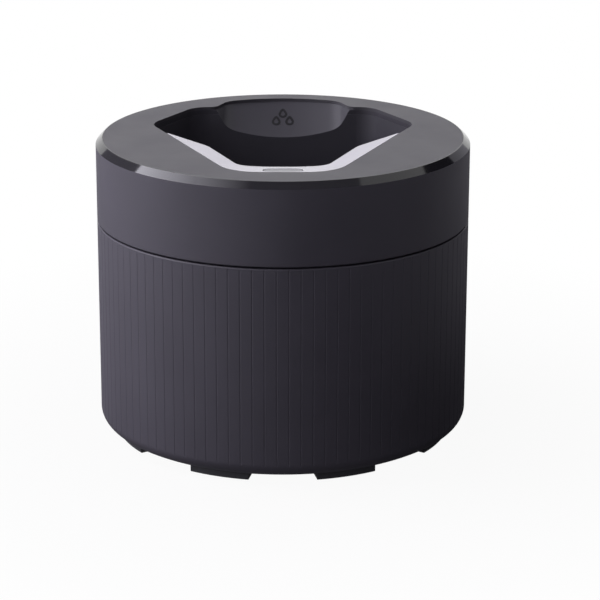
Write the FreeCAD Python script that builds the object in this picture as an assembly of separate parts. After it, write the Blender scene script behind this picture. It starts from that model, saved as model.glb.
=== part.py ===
"""Shaver cleaning station: a pod whose pumping top unit lifts off a fluted container with a cartridge in it.

Millimetres, +Z up. The origin is on the body's axis, at the level the feet stand on; the front faces -Y.
The container stands on its feet. The cartridge stands in the container, and the top unit rests on the
container's guide ribs, with its pump tube reaching down through the cartridge's lid.
"""

import FreeCAD, Part
import math
import os

V = FreeCAD.Vector
UP = V(0, 0, 1)
ORIGIN = V(0, 0, 0)

# ---------------------------------------------------------------- whole body
BODY_RADIUS = 56.0
CONTAINER_HEIGHT = 65.9
SEAM_GAP = 0.5
BAND_HEIGHT = 24.6
EDGE_BREAK = 0.3

# ---------------------------------------------------------------- clearances
PART_LINE = 0.15
LOOSE_FIT = 0.3
FIT = 0.05
SNUG = 0.02
SCREW_CLEARANCE = 0.1
BORE_SPARE = 0.5

# ---------------------------------------------------------------- modelling allowances
OVERSHOOT = 1.0
SLIP = 0.01
TINY = 1e-6
BEND_SHARE = 0.45
SIDE_SHARE = 0.99

# ---------------------------------------------------------------- container and feet
CONTAINER_WALL = 2.4
CONTAINER_FLOOR = 3.0
CONTAINER_CORNER_DEPTH = 5.2
CONTAINER_CORNER_RISE = 2.9
CONTAINER_CORNER_UNDER = 10.0
CONTAINER_CORNER_SIDE = 4.0
CONTAINER_INNER_CORNER = 3.2
FLUTE_COUNT = 100
FLUTE_DEPTH = 0.08
FLUTE_GROOVE_SHARE = 0.13
GUIDE_RIB_COUNT = 6
GUIDE_RIB_DEPTH = 1.7
GUIDE_RIB_WIDTH = 6.0
FOOT_PROUD = 1.7
FOOT_RECESS = 1.2
FOOT_OUTER_RADIUS = 51.2
FOOT_WIDTH = 8.0
FOOT_SPAN = 20.6
FOOT_BEARINGS = (21.7, 66.6, 113.4, 158.3)
FOOT_EDGE = 0.5

# ---------------------------------------------------------------- top cover, deck plate and trim
COVER_WALL = 2.2
DECK_BEVEL = 1.9
BEVEL_LAND = 0.25
DECK_PLATE_THICKNESS = 1.0
WEB_THICKNESS = 2.0
WEB_REACH = 1.6
LIP_SLOPE = 6.0
LIP_RUN = 16.0
TRIM_SEAT_DEPTH = 2.4
TRIM_TIP = 1.5
POST_RADIUS = 3.0
POST_DISTANCE = 9.2
POST_BEARINGS = (-140.0, -40.0, 2.0, 178.0)
HOOK_BEARINGS = (60.0, 120.0)
HOOK_DEPTH = 0.7
HOOK_WIDTH = 7.0
HOOK_HEIGHT = 1.2

# Corners of the deck opening and the well: distance in from the body's radius, bearing from +X, rounding.
REAR_CORNER_INSET = 10.24
REAR_CORNER_BEARING = 52.9
REAR_CORNER_ROUNDING = 8.0
SIDE_CORNER_INSET = 13.24
SIDE_CORNER_BEARING = 19.54
SIDE_CORNER_ROUNDING = 9.0
FRONT_CORNER_INSET = 9.85
FRONT_CORNER_BEARING = -71.03
FRONT_CORNER_ROUNDING = 12.5
POCKET_NECK_INSET = 14.03
POCKET_NECK_BEARING = 60.13
POCKET_NECK_ROUNDING = 3.5
POCKET_CORNER_INSET = 8.09
POCKET_CORNER_BEARING = 68.57
POCKET_CORNER_ROUNDING = 7.0
POCKET_APEX_INSET = 5.4
POCKET_APEX_ROUNDING = 40.0
WELL_WAIST_INSET = 31.27
WELL_WAIST_BEARING = -26.67
WELL_WAIST_ROUNDING = 9.0
WELL_FRONT_INSET = 19.86
WELL_FRONT_BEARING = -69.26
WELL_FRONT_ROUNDING = 5.0
LIP_START = 11.5
LIP_START_ROUNDING = 3.0

# ---------------------------------------------------------------- basin
BASIN_WALL = 1.8
WELL_DEPTH = 28.5
WELL_DRAFT = 4.0
POCKET_DEPTH = 11.0
POCKET_RUN = 1.45
POCKET_OVERRUN = 1.2
POCKET_PANEL_REACH = 2.6
FLANGE_REACH = 3.2
FLANGE_THICKNESS = 1.6
GASKET_THICKNESS = 0.6
GASKET_MARGIN = 0.2
DISH_RADIUS = 13.5
DISH_DEPTH = 5.0
DISH_CIRCLE = 18.0
DISH_BEARINGS = (-90.0, 30.0, 150.0)
DISH_TO_MOTOR = 0.3
SUMP_RADIUS = 8.0
SUMP_STEP = 1.0
DRAIN_HOLE_RADIUS = 1.0
DRAIN_HOLE_CIRCLE = 2.6
DRAIN_HOLE_COUNT = 6
SPOUT_RADIUS = 5.5
SPOUT_WALL = 1.4
SPOUT_DIP = 1.0
INLET_BEARING = 64.64
INLET_BELOW_DECK = 24.5
INLET_RADIUS = 3.0
INLET_BORE = 1.3

# ---------------------------------------------------------------- start button and its board
BUTTON_LENGTH = 11.0
BUTTON_WIDTH = 5.0
BUTTON_Y_IN_FROM_RADIUS = 15.9
BUTTON_GAP = 0.3
BUTTON_SUNK = 0.05
BUTTON_TRAVEL = 0.8
BUTTON_CAP_HEIGHT = 3.2
CHIMNEY_WALL = 1.4
CHIMNEY_DEPTH = 5.6
CHIMNEY_FLOOR = 1.5
STEM_RADIUS = 1.5
STEM_GROOVE = 0.4
CLIP_RADIUS = 2.9
CLIP_THICKNESS = 0.6
CLIP_ROOM = 0.2
SPRING_WIRE = 0.25
SPRING_RADIUS = 2.1
SPRING_TURNS = 4
SWITCH_SIZE = 6.0
SWITCH_HEIGHT = 3.2
PLUNGER_RADIUS = 1.6
PLUNGER_PROUD = 1.1
PLUNGER_LENGTH = 2.2
STEM_BELOW_CLIP = 1.4
BOARD_LENGTH = 30.0
BOARD_WIDTH = 12.0
BOARD_THICKNESS = 1.6
BOARD_FORWARD = 1.8
BOARD_SCREW_X = 12.0
BOARD_POST_RADIUS = 2.0
CHIP_SIZE = (5.0, 4.0, 1.2)
CHIP_SPACING = 2.0
CAPACITOR_RADIUS = 2.0
CAPACITOR_HEIGHT = 5.0

# ---------------------------------------------------------------- chassis
CHASSIS_WALL = 1.8
CHASSIS_FLOOR = 2.0
CHASSIS_DROP = 8.0
CHASSIS_GAP = 0.5
GUIDE_GAP = 0.6
CHASSIS_RISE = 3.7
SEAL_SECTION = 1.9
SEAL_BELOW_RIM = 6.3
SEAL_LAND = 1.5
BOSS_RADIUS = 3.6
PILLAR_RADIUS = 2.2
PILLAR_INSET = 6.0
PILLAR_CORNERS = (1, 3, 4)
GROMMET_THICKNESS = 1.6
GROMMET_LIP = 1.2

# ---------------------------------------------------------------- screws
CASE_SCREW_RADIUS = 1.25
CASE_HEAD_RADIUS = 2.35
CASE_HEAD_HEIGHT = 1.8
CASE_SCREW_GRIP = 8.0
CASE_SCREW_LENGTH = 18.0
SMALL_SCREW_RADIUS = 1.0
SMALL_HEAD_RADIUS = 1.9
SMALL_HEAD_HEIGHT = 1.2
SMALL_SCREW_BITE = 3.4
RECESS_REACH = 0.5
RECESS_HALF_WIDTH = 0.14

# ---------------------------------------------------------------- motor and pump
MOTOR_RADIUS = 12.2
MOTOR_LENGTH = 12.4
MOTOR_HEADROOM = 1.9
MOTOR_WALL_GAP = 2.3
MOTOR_CAN = 0.8
MOTOR_CAP = 1.4
MAGNET_THICKNESS = 2.0
ARMATURE_GAP = 0.5
ARMATURE_SLOTS = 3
ARMATURE_SLOT_WIDTH = 1.0
ARMATURE_HUB = 4.4
COMMUTATOR_RADIUS = 2.9
ARMATURE_END_GAP = 1.2
MOTOR_SHAFT_RADIUS = 1.0
TERMINAL_SIZE = (1.8, 2.2, 0.5)
TERMINAL_SPACING = 6.0
COLLAR_WALL = 1.2
COLLAR_HEIGHT = 3.6
PUMP_HEAD_THICKNESS = 1.6
PUMP_FLANGE_THICKNESS = 1.8
PUMP_FLANGE_OVERLAP = 0.9
CHAMBER_RADIUS = 8.0
CHAMBER_HEIGHT = 3.0
CHAMBER_WALL = 1.5
EAR_BEYOND_MOTOR = 3.9
EAR_RADIUS = 2.4
EAR_BEARINGS = (200.0, 270.0, 340.0)
PUMP_SCREW_TIP = 1.0
TUBE_RADIUS = 4.0
TUBE_WALL = 1.5
BELL_RADIUS = 11.0
BELL_HEIGHT = 10.0
BELL_WALL = 1.6
BELL_HOLE_GAP = 0.5
BELL_ABOVE_CARTRIDGE_FLOOR = 3.3
INTAKE_THICKNESS = 1.5
INTAKE_RADIUS = 4.0
INTAKE_BAR = 1.0
IMPELLER_RADIUS = 7.8
IMPELLER_DISC = 1.2
IMPELLER_GAP = 0.8
IMPELLER_HUB = 2.8
VANE_COUNT = 6
VANE_THICKNESS = 0.9
PUMP_SHAFT_RADIUS = 1.5
COUPLING_RADIUS = 2.6
COUPLING_LENGTH = 5.0
COUPLING_BELOW_HEAD = 0.9
SHAFT_GAP_IN_COUPLING = 0.4
BUSH_RADIUS = 2.7
BUSH_LENGTH = 4.0
BUSH_ABOVE_BELL = 1.0
BUSH_ARM = 1.2
BUSH_ARMS = 3
SHAFT_SEAL_RADIUS = 3.0
HOSE_BORE = 1.4
HOSE_WALL = 0.9
HOSE_OVERLAP = 2.4
HOSE_BEND = 4.8
SPIGOT_LENGTH = 4.5
SPIGOT_WALL = 0.4
RISER_TO_TUB = 2.8
CLAMP_WIDTH = 1.8
CLAMP_WALL = 0.6

# ---------------------------------------------------------------- batteries
CELL_RADIUS = 5.25
CELL_LENGTH = 43.7
CELL_NUB_RADIUS = 1.9
CELL_NUB = 0.8
CELL_PITCH = 11.0
CELL_FRONT_IN_FROM_RADIUS = 23.0
CELL_SPRING_ROOM = 3.2
CELL_SPRING_RADIUS = 2.8
CELL_SPRING_WIRE = 0.3
CELL_SPRING_TURNS = 3
CONTACT_THICKNESS = 0.4
CONTACT_SIZE = 8.0
CONTACT_TAB = 2.0
CONTACT_TAB_WIDTH = 2.0
BAY_WALL = 1.5
BAY_SIDE_GAP = 0.6
BAY_ROOF_GAP = 0.5
BATTERY_COVER_THICKNESS = 1.2
BATTERY_COVER_LIP = 3.4
BATTERY_SEAL_THICKNESS = 0.6
BATTERY_SEAL_WIDTH = 1.6
BATTERY_PAD_HEIGHT = 1.9
BATTERY_EAR_REACH = 4.2
BATTERY_EAR_RADIUS = 3.0
BATTERY_BOSS_HEIGHT = 5.0
BATTERY_SCREW_BITE = 3.5
BATTERY_SCREW_HEAD = 1.0
CRADLE_SPACING = 21.8

# ---------------------------------------------------------------- cartridge
CARTRIDGE_HEADROOM = 0.2
CARTRIDGE_GAP = 0.7
CARTRIDGE_WALL = 1.2
CARTRIDGE_LID = 2.0
CARTRIDGE_PUMP_HOLE_GAP = 1.5
CARTRIDGE_INLET_GAP = 1.5
BASKET_WALL = 1.2
BASKET_CLEARANCE = 3.0
BASKET_FLOOR_GAP = 2.6
BASKET_FLANGE = 1.5
BASKET_SLOTS = 12
BASKET_SLOT_WIDTH = 2.0
BASKET_SLOT_HEIGHT = 12.0
FOAM_HEIGHT = 11.0

# ---------------------------------------------------------------- leads
LEAD_RADIUS = 0.6
LEAD_X = (13.0, 9.0)
LEAD_IN_FROM_RADIUS = (14.5, 14.5, 14.5, 14.5, 12.0)
LEAD_BEARINGS = (-128.0, -152.0, -176.0, 160.0, 135.0)
LEAD_BELOW_WELL = 3.0
LEAD_STEP = 2.0
LEAD_APPROACH = 10.0
LEAD_LOOP = 3.0
LEAD_FORWARD = 3.0

# ================================================================ levels, worked out from the deck down
BAND_BOTTOM = CONTAINER_HEIGHT + SEAM_GAP
DECK = BAND_BOTTOM + BAND_HEIGHT
PLATE_BOTTOM = DECK - DECK_PLATE_THICKNESS
WEB_BOTTOM = PLATE_BOTTOM - WEB_THICKNESS
TRIM_SEAT = DECK - TRIM_SEAT_DEPTH
FLANGE_TOP = WEB_BOTTOM - GASKET_THICKNESS
FLANGE_BOTTOM = FLANGE_TOP - FLANGE_THICKNESS
WELL_FLOOR = DECK - WELL_DEPTH
WELL_UNDER = WELL_FLOOR - BASIN_WALL
DISH_FLOOR = WELL_FLOOR - DISH_DEPTH
SUMP_FLOOR = DISH_FLOOR - SUMP_STEP
SUMP_UNDER = SUMP_FLOOR - BASIN_WALL
MOTOR_TOP = WELL_UNDER - MOTOR_HEADROOM
MOTOR_BOTTOM = MOTOR_TOP - MOTOR_LENGTH
HEAD_BOTTOM = MOTOR_BOTTOM - PUMP_HEAD_THICKNESS
CHAMBER_BOTTOM = HEAD_BOTTOM - CHAMBER_HEIGHT
CHASSIS_TOP = CHAMBER_BOTTOM - PUMP_FLANGE_THICKNESS
CHASSIS_UNDER = CHASSIS_TOP - CHASSIS_FLOOR
SEAT = CHASSIS_UNDER + CHASSIS_DROP
BATTERY_COVER_UNDER = CHASSIS_UNDER - BATTERY_SEAL_THICKNESS - BATTERY_COVER_THICKNESS
CARTRIDGE_TOP = BATTERY_COVER_UNDER - BATTERY_SCREW_HEAD - CARTRIDGE_HEADROOM
LID_BOTTOM = CARTRIDGE_TOP - CARTRIDGE_LID
CONTAINER_FLOOR_TOP = FOOT_PROUD + CONTAINER_FLOOR
CARTRIDGE_FLOOR_TOP = CONTAINER_FLOOR_TOP + CARTRIDGE_WALL
BELL_BOTTOM = CARTRIDGE_FLOOR_TOP + BELL_ABOVE_CARTRIDGE_FLOOR
BELL_TOP = BELL_BOTTOM + BELL_HEIGHT
SPOUT_END = CARTRIDGE_TOP - SPOUT_DIP
POST_SEAT = BAND_BOTTOM + CHASSIS_RISE

# radii and places in plan
COVER_INNER = BODY_RADIUS - COVER_WALL
CONTAINER_INNER = BODY_RADIUS - CONTAINER_WALL
RIB_INNER = CONTAINER_INNER - GUIDE_RIB_DEPTH
SKIRT_RADIUS = CONTAINER_INNER - CHASSIS_GAP
TUB_RADIUS = RIB_INNER - GUIDE_GAP
TUB_INNER = TUB_RADIUS - CHASSIS_WALL
CARTRIDGE_RADIUS = RIB_INNER - CARTRIDGE_GAP
PUMP_Y = TUB_INNER - MOTOR_WALL_GAP - MOTOR_RADIUS
PUMP = V(0, PUMP_Y, 0)
EAR_REACH = MOTOR_RADIUS + EAR_BEYOND_MOTOR
DISH_AWAY = DISH_RADIUS + BASIN_WALL + MOTOR_RADIUS + DISH_TO_MOTOR
DISH_AHEAD = math.sqrt(DISH_AWAY**2 - (DISH_CIRCLE * math.cos(math.radians(DISH_BEARINGS[1]))) ** 2)
DRAIN_Y = PUMP_Y - DISH_AHEAD - DISH_CIRCLE * math.sin(math.radians(DISH_BEARINGS[1]))
DRAIN = V(0, DRAIN_Y, 0)
BUTTON_Y = BUTTON_Y_IN_FROM_RADIUS - BODY_RADIUS
BOARD_Y = BUTTON_Y - BOARD_FORWARD
BASKET_RADIUS = PUMP_Y - DRAIN_Y - BELL_RADIUS - BASKET_CLEARANCE
HOSE_RADIUS = HOSE_BORE + HOSE_WALL
SPIGOT_RADIUS = HOSE_BORE - SNUG


# ================================================================ helpers
def polar(radius, bearing, z=0.0):
    """The point at this radius and bearing, in degrees from +X, about the body's axis."""
    return V(radius * math.cos(math.radians(bearing)), radius * math.sin(math.radians(bearing)), z)


def disc(radius, bottom, top, centre=ORIGIN):
    return Part.makeCylinder(radius, top - bottom, V(centre.x, centre.y, bottom))


def discs(radius, bottom, top, centres):
    return [disc(radius, bottom, top, centre) for centre in centres]


def ring(outer, inner, bottom, top, centre=ORIGIN):
    return disc(outer, bottom, top, centre).cut(disc(inner, bottom - SLIP, top + SLIP, centre))


def block(x_low, x_high, y_low, y_high, bottom, top):
    return Part.makeBox(x_high - x_low, y_high - y_low, top - bottom, V(x_low, y_low, bottom))


def fused(pieces):
    whole = pieces[0].fuse(pieces[1:]) if len(pieces) > 1 else pieces[0]
    return whole.removeSplitter()


def turned(shape, bearing, centre=ORIGIN):
    """A copy of the shape turned about the vertical through centre."""
    copy = shape.copy()
    copy.rotate(centre, UP, bearing)
    return copy


def spread(shape, count, centre=ORIGIN, first=0.0):
    """Copies of the shape spread evenly about the vertical through centre."""
    return [turned(shape, first + i * 360.0 / count, centre) for i in range(count)]


def mirrored(shape):
    return shape.mirror(ORIGIN, V(1, 0, 0))


def rounded_edges(corners, place):
    """Edges of a closed outline whose corners (u, v, rounding) are rounded as far as their sides allow.

    place makes a point of (u, v).
    """
    count = len(corners)
    points = [V(u, v, 0) for u, v, rounding in corners]
    sides = [points[(i + 1) % count] - points[i] for i in range(count)]
    along = [side / side.Length for side in sides]
    halves = [(-along[i - 1]).getAngle(along[i]) / 2 for i in range(count)]
    reaches = [corner[2] / math.tan(half) for corner, half in zip(corners, halves)]
    wanted = [max(reaches[i] + reaches[(i + 1) % count], TINY) for i in range(count)]
    shares = [min(1.0, SIDE_SHARE * side.Length / want) for side, want in zip(sides, wanted)]
    stretches = []
    for i, here in enumerate(points):
        reach = reaches[i] * min(shares[i - 1], shares[i])
        if reach < TINY:
            stretches.append((here, here, here))
            continue
        inward = along[i] - along[i - 1]
        inward.normalize()
        rounding = reach * math.tan(halves[i])
        middle = here + inward * (rounding / math.sin(halves[i]) - rounding)
        stretches.append((here - along[i - 1] * reach, middle, here + along[i] * reach))
    edges = []
    for i, (start, middle, end) in enumerate(stretches):
        if start.distanceToPoint(end) > TINY:
            edges.append(Part.Arc(place(start), place(middle), place(end)).toShape())
        following = stretches[(i + 1) % count][0]
        if end.distanceToPoint(following) > TINY:
            edges.append(Part.LineSegment(place(end), place(following)).toShape())
    return edges


def outline(corners, z):
    """A level closed wire at height z."""
    return Part.Wire(rounded_edges(corners, lambda p: V(p.x, p.y, z)))


def grown(corners, distance, keep_rounding=False):
    """The outline's corners moved outwards by distance; corners run anticlockwise."""
    moved = []
    for i, (x, y, rounding) in enumerate(corners):
        here = V(x, y, 0)
        into = here - V(*corners[i - 1][:2], 0)
        out = V(*corners[(i + 1) % len(corners)][:2], 0) - here
        into.normalize()
        out.normalize()
        normals = V(into.y, -into.x, 0) + V(out.y, -out.x, 0)
        here = here + normals * (distance * 2 / normals.Length**2)
        convex = into.cross(out).z > 0
        changed = rounding + distance if convex else rounding - distance
        moved.append((here.x, here.y, rounding if keep_rounding else max(changed, EDGE_BREAK)))
    return moved


def prism(corners, bottom, top):
    return Part.Face(outline(corners, bottom)).extrude(V(0, 0, top - bottom))


def tapered(top_corners, top, bottom_corners, bottom):
    """A solid between two outlines with the same number of corners."""
    return Part.makeLoft([outline(bottom_corners, bottom), outline(top_corners, top)], True, True)


def lathe(corners, centre=ORIGIN):
    """A solid of revolution about a vertical axis, from its section's corners (radius, z, rounding)."""
    wire = Part.Wire(rounded_edges(corners, lambda p: V(centre.x + p.x, centre.y, p.y)))
    return Part.Face(wire).revolve(centre, UP, 360)


def sharp(*points):
    """Corners with no rounding."""
    return [(u, v, 0.0) for u, v in points]


def swept(path, radius):
    """A round rod along a wire."""
    start = path.Edges[0].valueAt(path.Edges[0].FirstParameter)
    along = path.Edges[0].tangentAt(path.Edges[0].FirstParameter)
    section = Part.Wire(Part.makeCircle(radius, start, along))
    return path.makePipeShell([section], True, False)


def route(points, largest_bend=BODY_RADIUS):
    """A wire of straight runs joined by arcs as large as the runs allow, up to largest_bend."""
    edges = []
    start = points[0]
    for before, here, after in zip(points, points[1:], points[2:]):
        back = before - here
        ahead = after - here
        run = min(back.Length, ahead.Length)
        back.normalize()
        ahead.normalize()
        half = back.getAngle(ahead) / 2
        bend = min(largest_bend, BEND_SHARE * run * math.tan(half))
        reach = bend / math.tan(half)
        inward = back + ahead
        inward.normalize()
        middle = here + inward * (bend / math.sin(half) - bend)
        edges.append(Part.LineSegment(start, here + back * reach).toShape())
        edges.append(Part.Arc(here + back * reach, middle, here + ahead * reach).toShape())
        start = here + ahead * reach
    edges.append(Part.LineSegment(start, points[-1]).toShape())
    return Part.Wire(edges)


def coil(radius, wire, bottom, top, turns, centre=ORIGIN):
    """A round-wire spring between two levels: its half turns tilt to and fro and meet smoothly."""
    rise = (top - bottom - 2 * wire) / (2 * turns)
    section = Part.Face(Part.Wire(Part.makeCircle(wire, V(radius, 0, 0), V(0, 1, 0))))
    half_turn = section.revolve(V(0, 0, rise / 2), V(rise / 2, 0, radius), 180)
    halves = [turned(half_turn, i * 180).translated(V(0, 0, i * rise)) for i in range(2 * turns)]
    return fused(halves).translated(V(centre.x, centre.y, bottom + wire))


def screw(centre, seat, radius, head_radius, head_height, length, head_below):
    """A pan-head screw with a cross recess, whose head sits on the level seat, below it or above it."""
    side = -1 if head_below else 1
    head_end = seat + side * head_height
    recess_floor = seat + side * head_height / 2
    head = disc(head_radius, *sorted((seat, head_end)), centre)
    shank = disc(radius, *sorted((seat, seat - side * length)), centre)
    long = head_radius * RECESS_REACH
    narrow = head_radius * RECESS_HALF_WIDTH
    arm = block(-long, long, -narrow, narrow, *sorted((head_end, recess_floor)))
    cross = fused([arm, turned(arm, 90)])
    cross.translate(V(centre.x, centre.y, 0))
    return fused([head, shank]).cut(cross)


def save(node, solids):
    shape = solids if isinstance(solids, Part.Shape) else Part.makeCompound(list(solids))
    shape.exportStep(os.path.join("parts", node + ".step"))


# ================================================================ plan outlines
def corner(inset, bearing, rounding):
    """A corner (x, y, rounding) from its distance in from the body's radius, its bearing and its rounding."""
    at = polar(BODY_RADIUS - inset, bearing)
    return (at.x, at.y, rounding)


def spot(place):
    """The point of a corner."""
    return V(*place[:2], 0)


REAR_CORNER = corner(REAR_CORNER_INSET, REAR_CORNER_BEARING, REAR_CORNER_ROUNDING)
SIDE_CORNER = corner(SIDE_CORNER_INSET, SIDE_CORNER_BEARING, SIDE_CORNER_ROUNDING)
FRONT_CORNER = corner(FRONT_CORNER_INSET, FRONT_CORNER_BEARING, FRONT_CORNER_ROUNDING)
POCKET_NECK = corner(POCKET_NECK_INSET, POCKET_NECK_BEARING, POCKET_NECK_ROUNDING)
POCKET_CORNER = corner(POCKET_CORNER_INSET, POCKET_CORNER_BEARING, POCKET_CORNER_ROUNDING)
POCKET_APEX = corner(POCKET_APEX_INSET, 90, POCKET_APEX_ROUNDING)
WELL_WAIST = corner(WELL_WAIST_INSET, WELL_WAIST_BEARING, WELL_WAIST_ROUNDING)
WELL_FRONT = corner(WELL_FRONT_INSET, WELL_FRONT_BEARING, WELL_FRONT_ROUNDING)


def symmetrical(right_side):
    """A whole anticlockwise outline from its right-hand corners, given from front to back."""
    left = [(-x, y, rounding) for x, y, rounding in reversed(right_side) if abs(x) > TINY]
    return right_side + left


def lip_start():
    """The corner where the well's edge leaves the deck opening's side."""
    side = spot(SIDE_CORNER)
    along = spot(FRONT_CORNER) - side
    along.normalize()
    at = side + along * LIP_START
    return (at.x, at.y, LIP_START_ROUNDING)


MOUTH = symmetrical([FRONT_CORNER, SIDE_CORNER, REAR_CORNER])
OPENING = symmetrical([FRONT_CORNER, SIDE_CORNER, REAR_CORNER, POCKET_NECK, POCKET_CORNER, POCKET_APEX])
WELL = symmetrical([WELL_FRONT, WELL_WAIST, lip_start(), SIDE_CORNER, REAR_CORNER])


def pocket_outline():
    """The pocket's own outline at the deck, its sides carried on forwards into the well."""
    neck = spot(POCKET_NECK)
    front = neck + (neck - spot(POCKET_CORNER)) * POCKET_OVERRUN
    return symmetrical([(front.x, front.y, 0.0), POCKET_CORNER, POCKET_APEX])


def pocket_sweep(growth, depth):
    """The pocket's outline swept forwards and down from under the deck plate."""
    mouth = Part.Face(outline(grown(pocket_outline(), growth), PLATE_BOTTOM))
    return mouth.extrude(V(0, -POCKET_RUN, -1) * depth)


def well_tool(growth, top, bottom):
    """The well's drafted form, grown by a wall; its nominal outline is at the deck's level."""
    lean = math.tan(math.radians(WELL_DRAFT))
    upper = grown(WELL, growth - (DECK - top) * lean)
    lower = grown(WELL, growth - (DECK - bottom) * lean)
    return tapered(upper, top, lower, bottom)


def lip_tool():
    """What is cut away above the sloping lip."""
    drop = LIP_RUN * math.tan(math.radians(LIP_SLOPE))
    pit = tapered(MOUTH, DECK, grown(MOUTH, -LIP_RUN, keep_rounding=True), DECK - drop)
    return pit.fuse(prism(grown(MOUTH, OVERSHOOT), DECK, DECK + OVERSHOOT))


def pill(growth, bottom, top):
    """The start button's outline as a prism, grown by a clearance or a wall."""
    half = BUTTON_WIDTH / 2 + growth
    reach = (BUTTON_LENGTH - BUTTON_WIDTH) / 2
    ends = [disc(half, bottom, top, V(x, BUTTON_Y, 0)) for x in (-reach, reach)]
    return fused(ends + [block(-reach, reach, BUTTON_Y - half, BUTTON_Y + half, bottom, top)])


def dish_centres():
    return [DRAIN + polar(DISH_CIRCLE, bearing) for bearing in DISH_BEARINGS]


def inlet_point():
    """Where the supply hose's riser stands, between the well's rear wall and the tub's."""
    return polar(TUB_INNER - RISER_TO_TUB, INLET_BEARING, DECK - INLET_BELOW_DECK)


def post_centres():
    return [polar(BODY_RADIUS - POST_DISTANCE, bearing) for bearing in POST_BEARINGS]


# ================================================================ container, feet and cartridge
def container():
    rim = CONTAINER_HEIGHT
    outer = lathe(
        [
            (0, FOOT_PROUD, 0),
            (BODY_RADIUS - CONTAINER_CORNER_DEPTH, FOOT_PROUD, CONTAINER_CORNER_UNDER),
            (BODY_RADIUS, FOOT_PROUD + CONTAINER_CORNER_RISE, CONTAINER_CORNER_SIDE),
            (BODY_RADIUS, rim - EDGE_BREAK, 0),
            (BODY_RADIUS - EDGE_BREAK, rim, 0),
            (0, rim, 0),
        ]
    )
    pitch = 360.0 / FLUTE_COUNT
    groove = pitch * FLUTE_GROOVE_SHARE
    edges = []
    for i in range(FLUTE_COUNT):
        start = (i - 0.5) * pitch + groove / 2
        end = (i + 0.5) * pitch - groove / 2
        crown = [polar(BODY_RADIUS, bearing) for bearing in (start, (start + end) / 2, end)]
        floor = polar(BODY_RADIUS - FLUTE_DEPTH, end + groove / 2)
        dip = [crown[-1], floor, polar(BODY_RADIUS, end + groove)]
        edges += [Part.Arc(*crown).toShape(), Part.Arc(*dip).toShape()]
    fluted = Part.Face(Part.Wire(edges)).extrude(V(0, 0, rim))
    hollow = lathe(
        [
            (0, CONTAINER_FLOOR_TOP, 0),
            (CONTAINER_INNER, CONTAINER_FLOOR_TOP, CONTAINER_INNER_CORNER),
            (CONTAINER_INNER, rim + SLIP, 0),
            (0, rim + SLIP, 0),
        ]
    )
    shell = outer.common(fluted).cut(hollow)
    half = GUIDE_RIB_WIDTH / 2
    bar = block(0, BODY_RADIUS, -half, half, CONTAINER_FLOOR_TOP - SLIP, SEAT)
    rib = bar.common(ring(CONTAINER_INNER + SLIP, RIB_INNER, 0, rim))
    ribs = spread(rib, GUIDE_RIB_COUNT, first=180.0 / GUIDE_RIB_COUNT)
    recesses = [foot(LOOSE_FIT / 2, bearing) for bearing in foot_bearings()]
    return fused([shell] + ribs).cut(Part.makeCompound(recesses))


def foot_bearings():
    right = [bearing - 90.0 for bearing in FOOT_BEARINGS]
    left = [-90.0 - bearing for bearing in FOOT_BEARINGS]
    return right + left


def foot(clearance, bearing):
    """A curved foot pad, centred on this bearing; with a clearance, the recess that it sits in."""
    outer = FOOT_OUTER_RADIUS + clearance
    inner = FOOT_OUTER_RADIUS - FOOT_WIDTH - clearance
    top = FOOT_PROUD + FOOT_RECESS
    edge = 0.0 if clearance else FOOT_EDGE
    section = [(inner, 0, edge), (outer, 0, edge), (outer, top, 0), (inner, top, 0)]
    span = FOOT_SPAN + math.degrees(2 * clearance / FOOT_OUTER_RADIUS)
    wire = Part.Wire(rounded_edges(section, lambda p: V(p.x, 0, p.y)))
    pad = Part.Face(wire).revolve(ORIGIN, UP, span)
    return turned(pad, bearing - span / 2)


def cartridge_body():
    wall = CARTRIDGE_WALL
    floor = CONTAINER_FLOOR_TOP
    outer = CARTRIDGE_RADIUS
    return lathe(
        [
            (0, floor, 0),
            (outer, floor, 2 * wall),
            (outer, LID_BOTTOM, 0),
            (outer - wall, LID_BOTTOM, 0),
            (outer - wall, floor + wall, wall),
            (0, floor + wall, 0),
        ]
    )


def cartridge_lid():
    lid = lathe(
        [
            (0, LID_BOTTOM, 0),
            (CARTRIDGE_RADIUS, LID_BOTTOM, 0),
            (CARTRIDGE_RADIUS, CARTRIDGE_TOP, EDGE_BREAK),
            (0, CARTRIDGE_TOP, 0),
        ]
    )
    plug = ring(
        CARTRIDGE_RADIUS - CARTRIDGE_WALL - FIT,
        CARTRIDGE_RADIUS - 2 * CARTRIDGE_WALL,
        LID_BOTTOM - CARTRIDGE_LID,
        LID_BOTTOM + SLIP,
    )
    holes = [
        disc(BELL_RADIUS + CARTRIDGE_PUMP_HOLE_GAP, LID_BOTTOM - SLIP, CARTRIDGE_TOP + SLIP, PUMP),
        disc(SPOUT_RADIUS + CARTRIDGE_INLET_GAP, LID_BOTTOM - SLIP, CARTRIDGE_TOP + SLIP, DRAIN),
    ]
    return fused([lid, plug]).cut(Part.makeCompound(holes))


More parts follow.
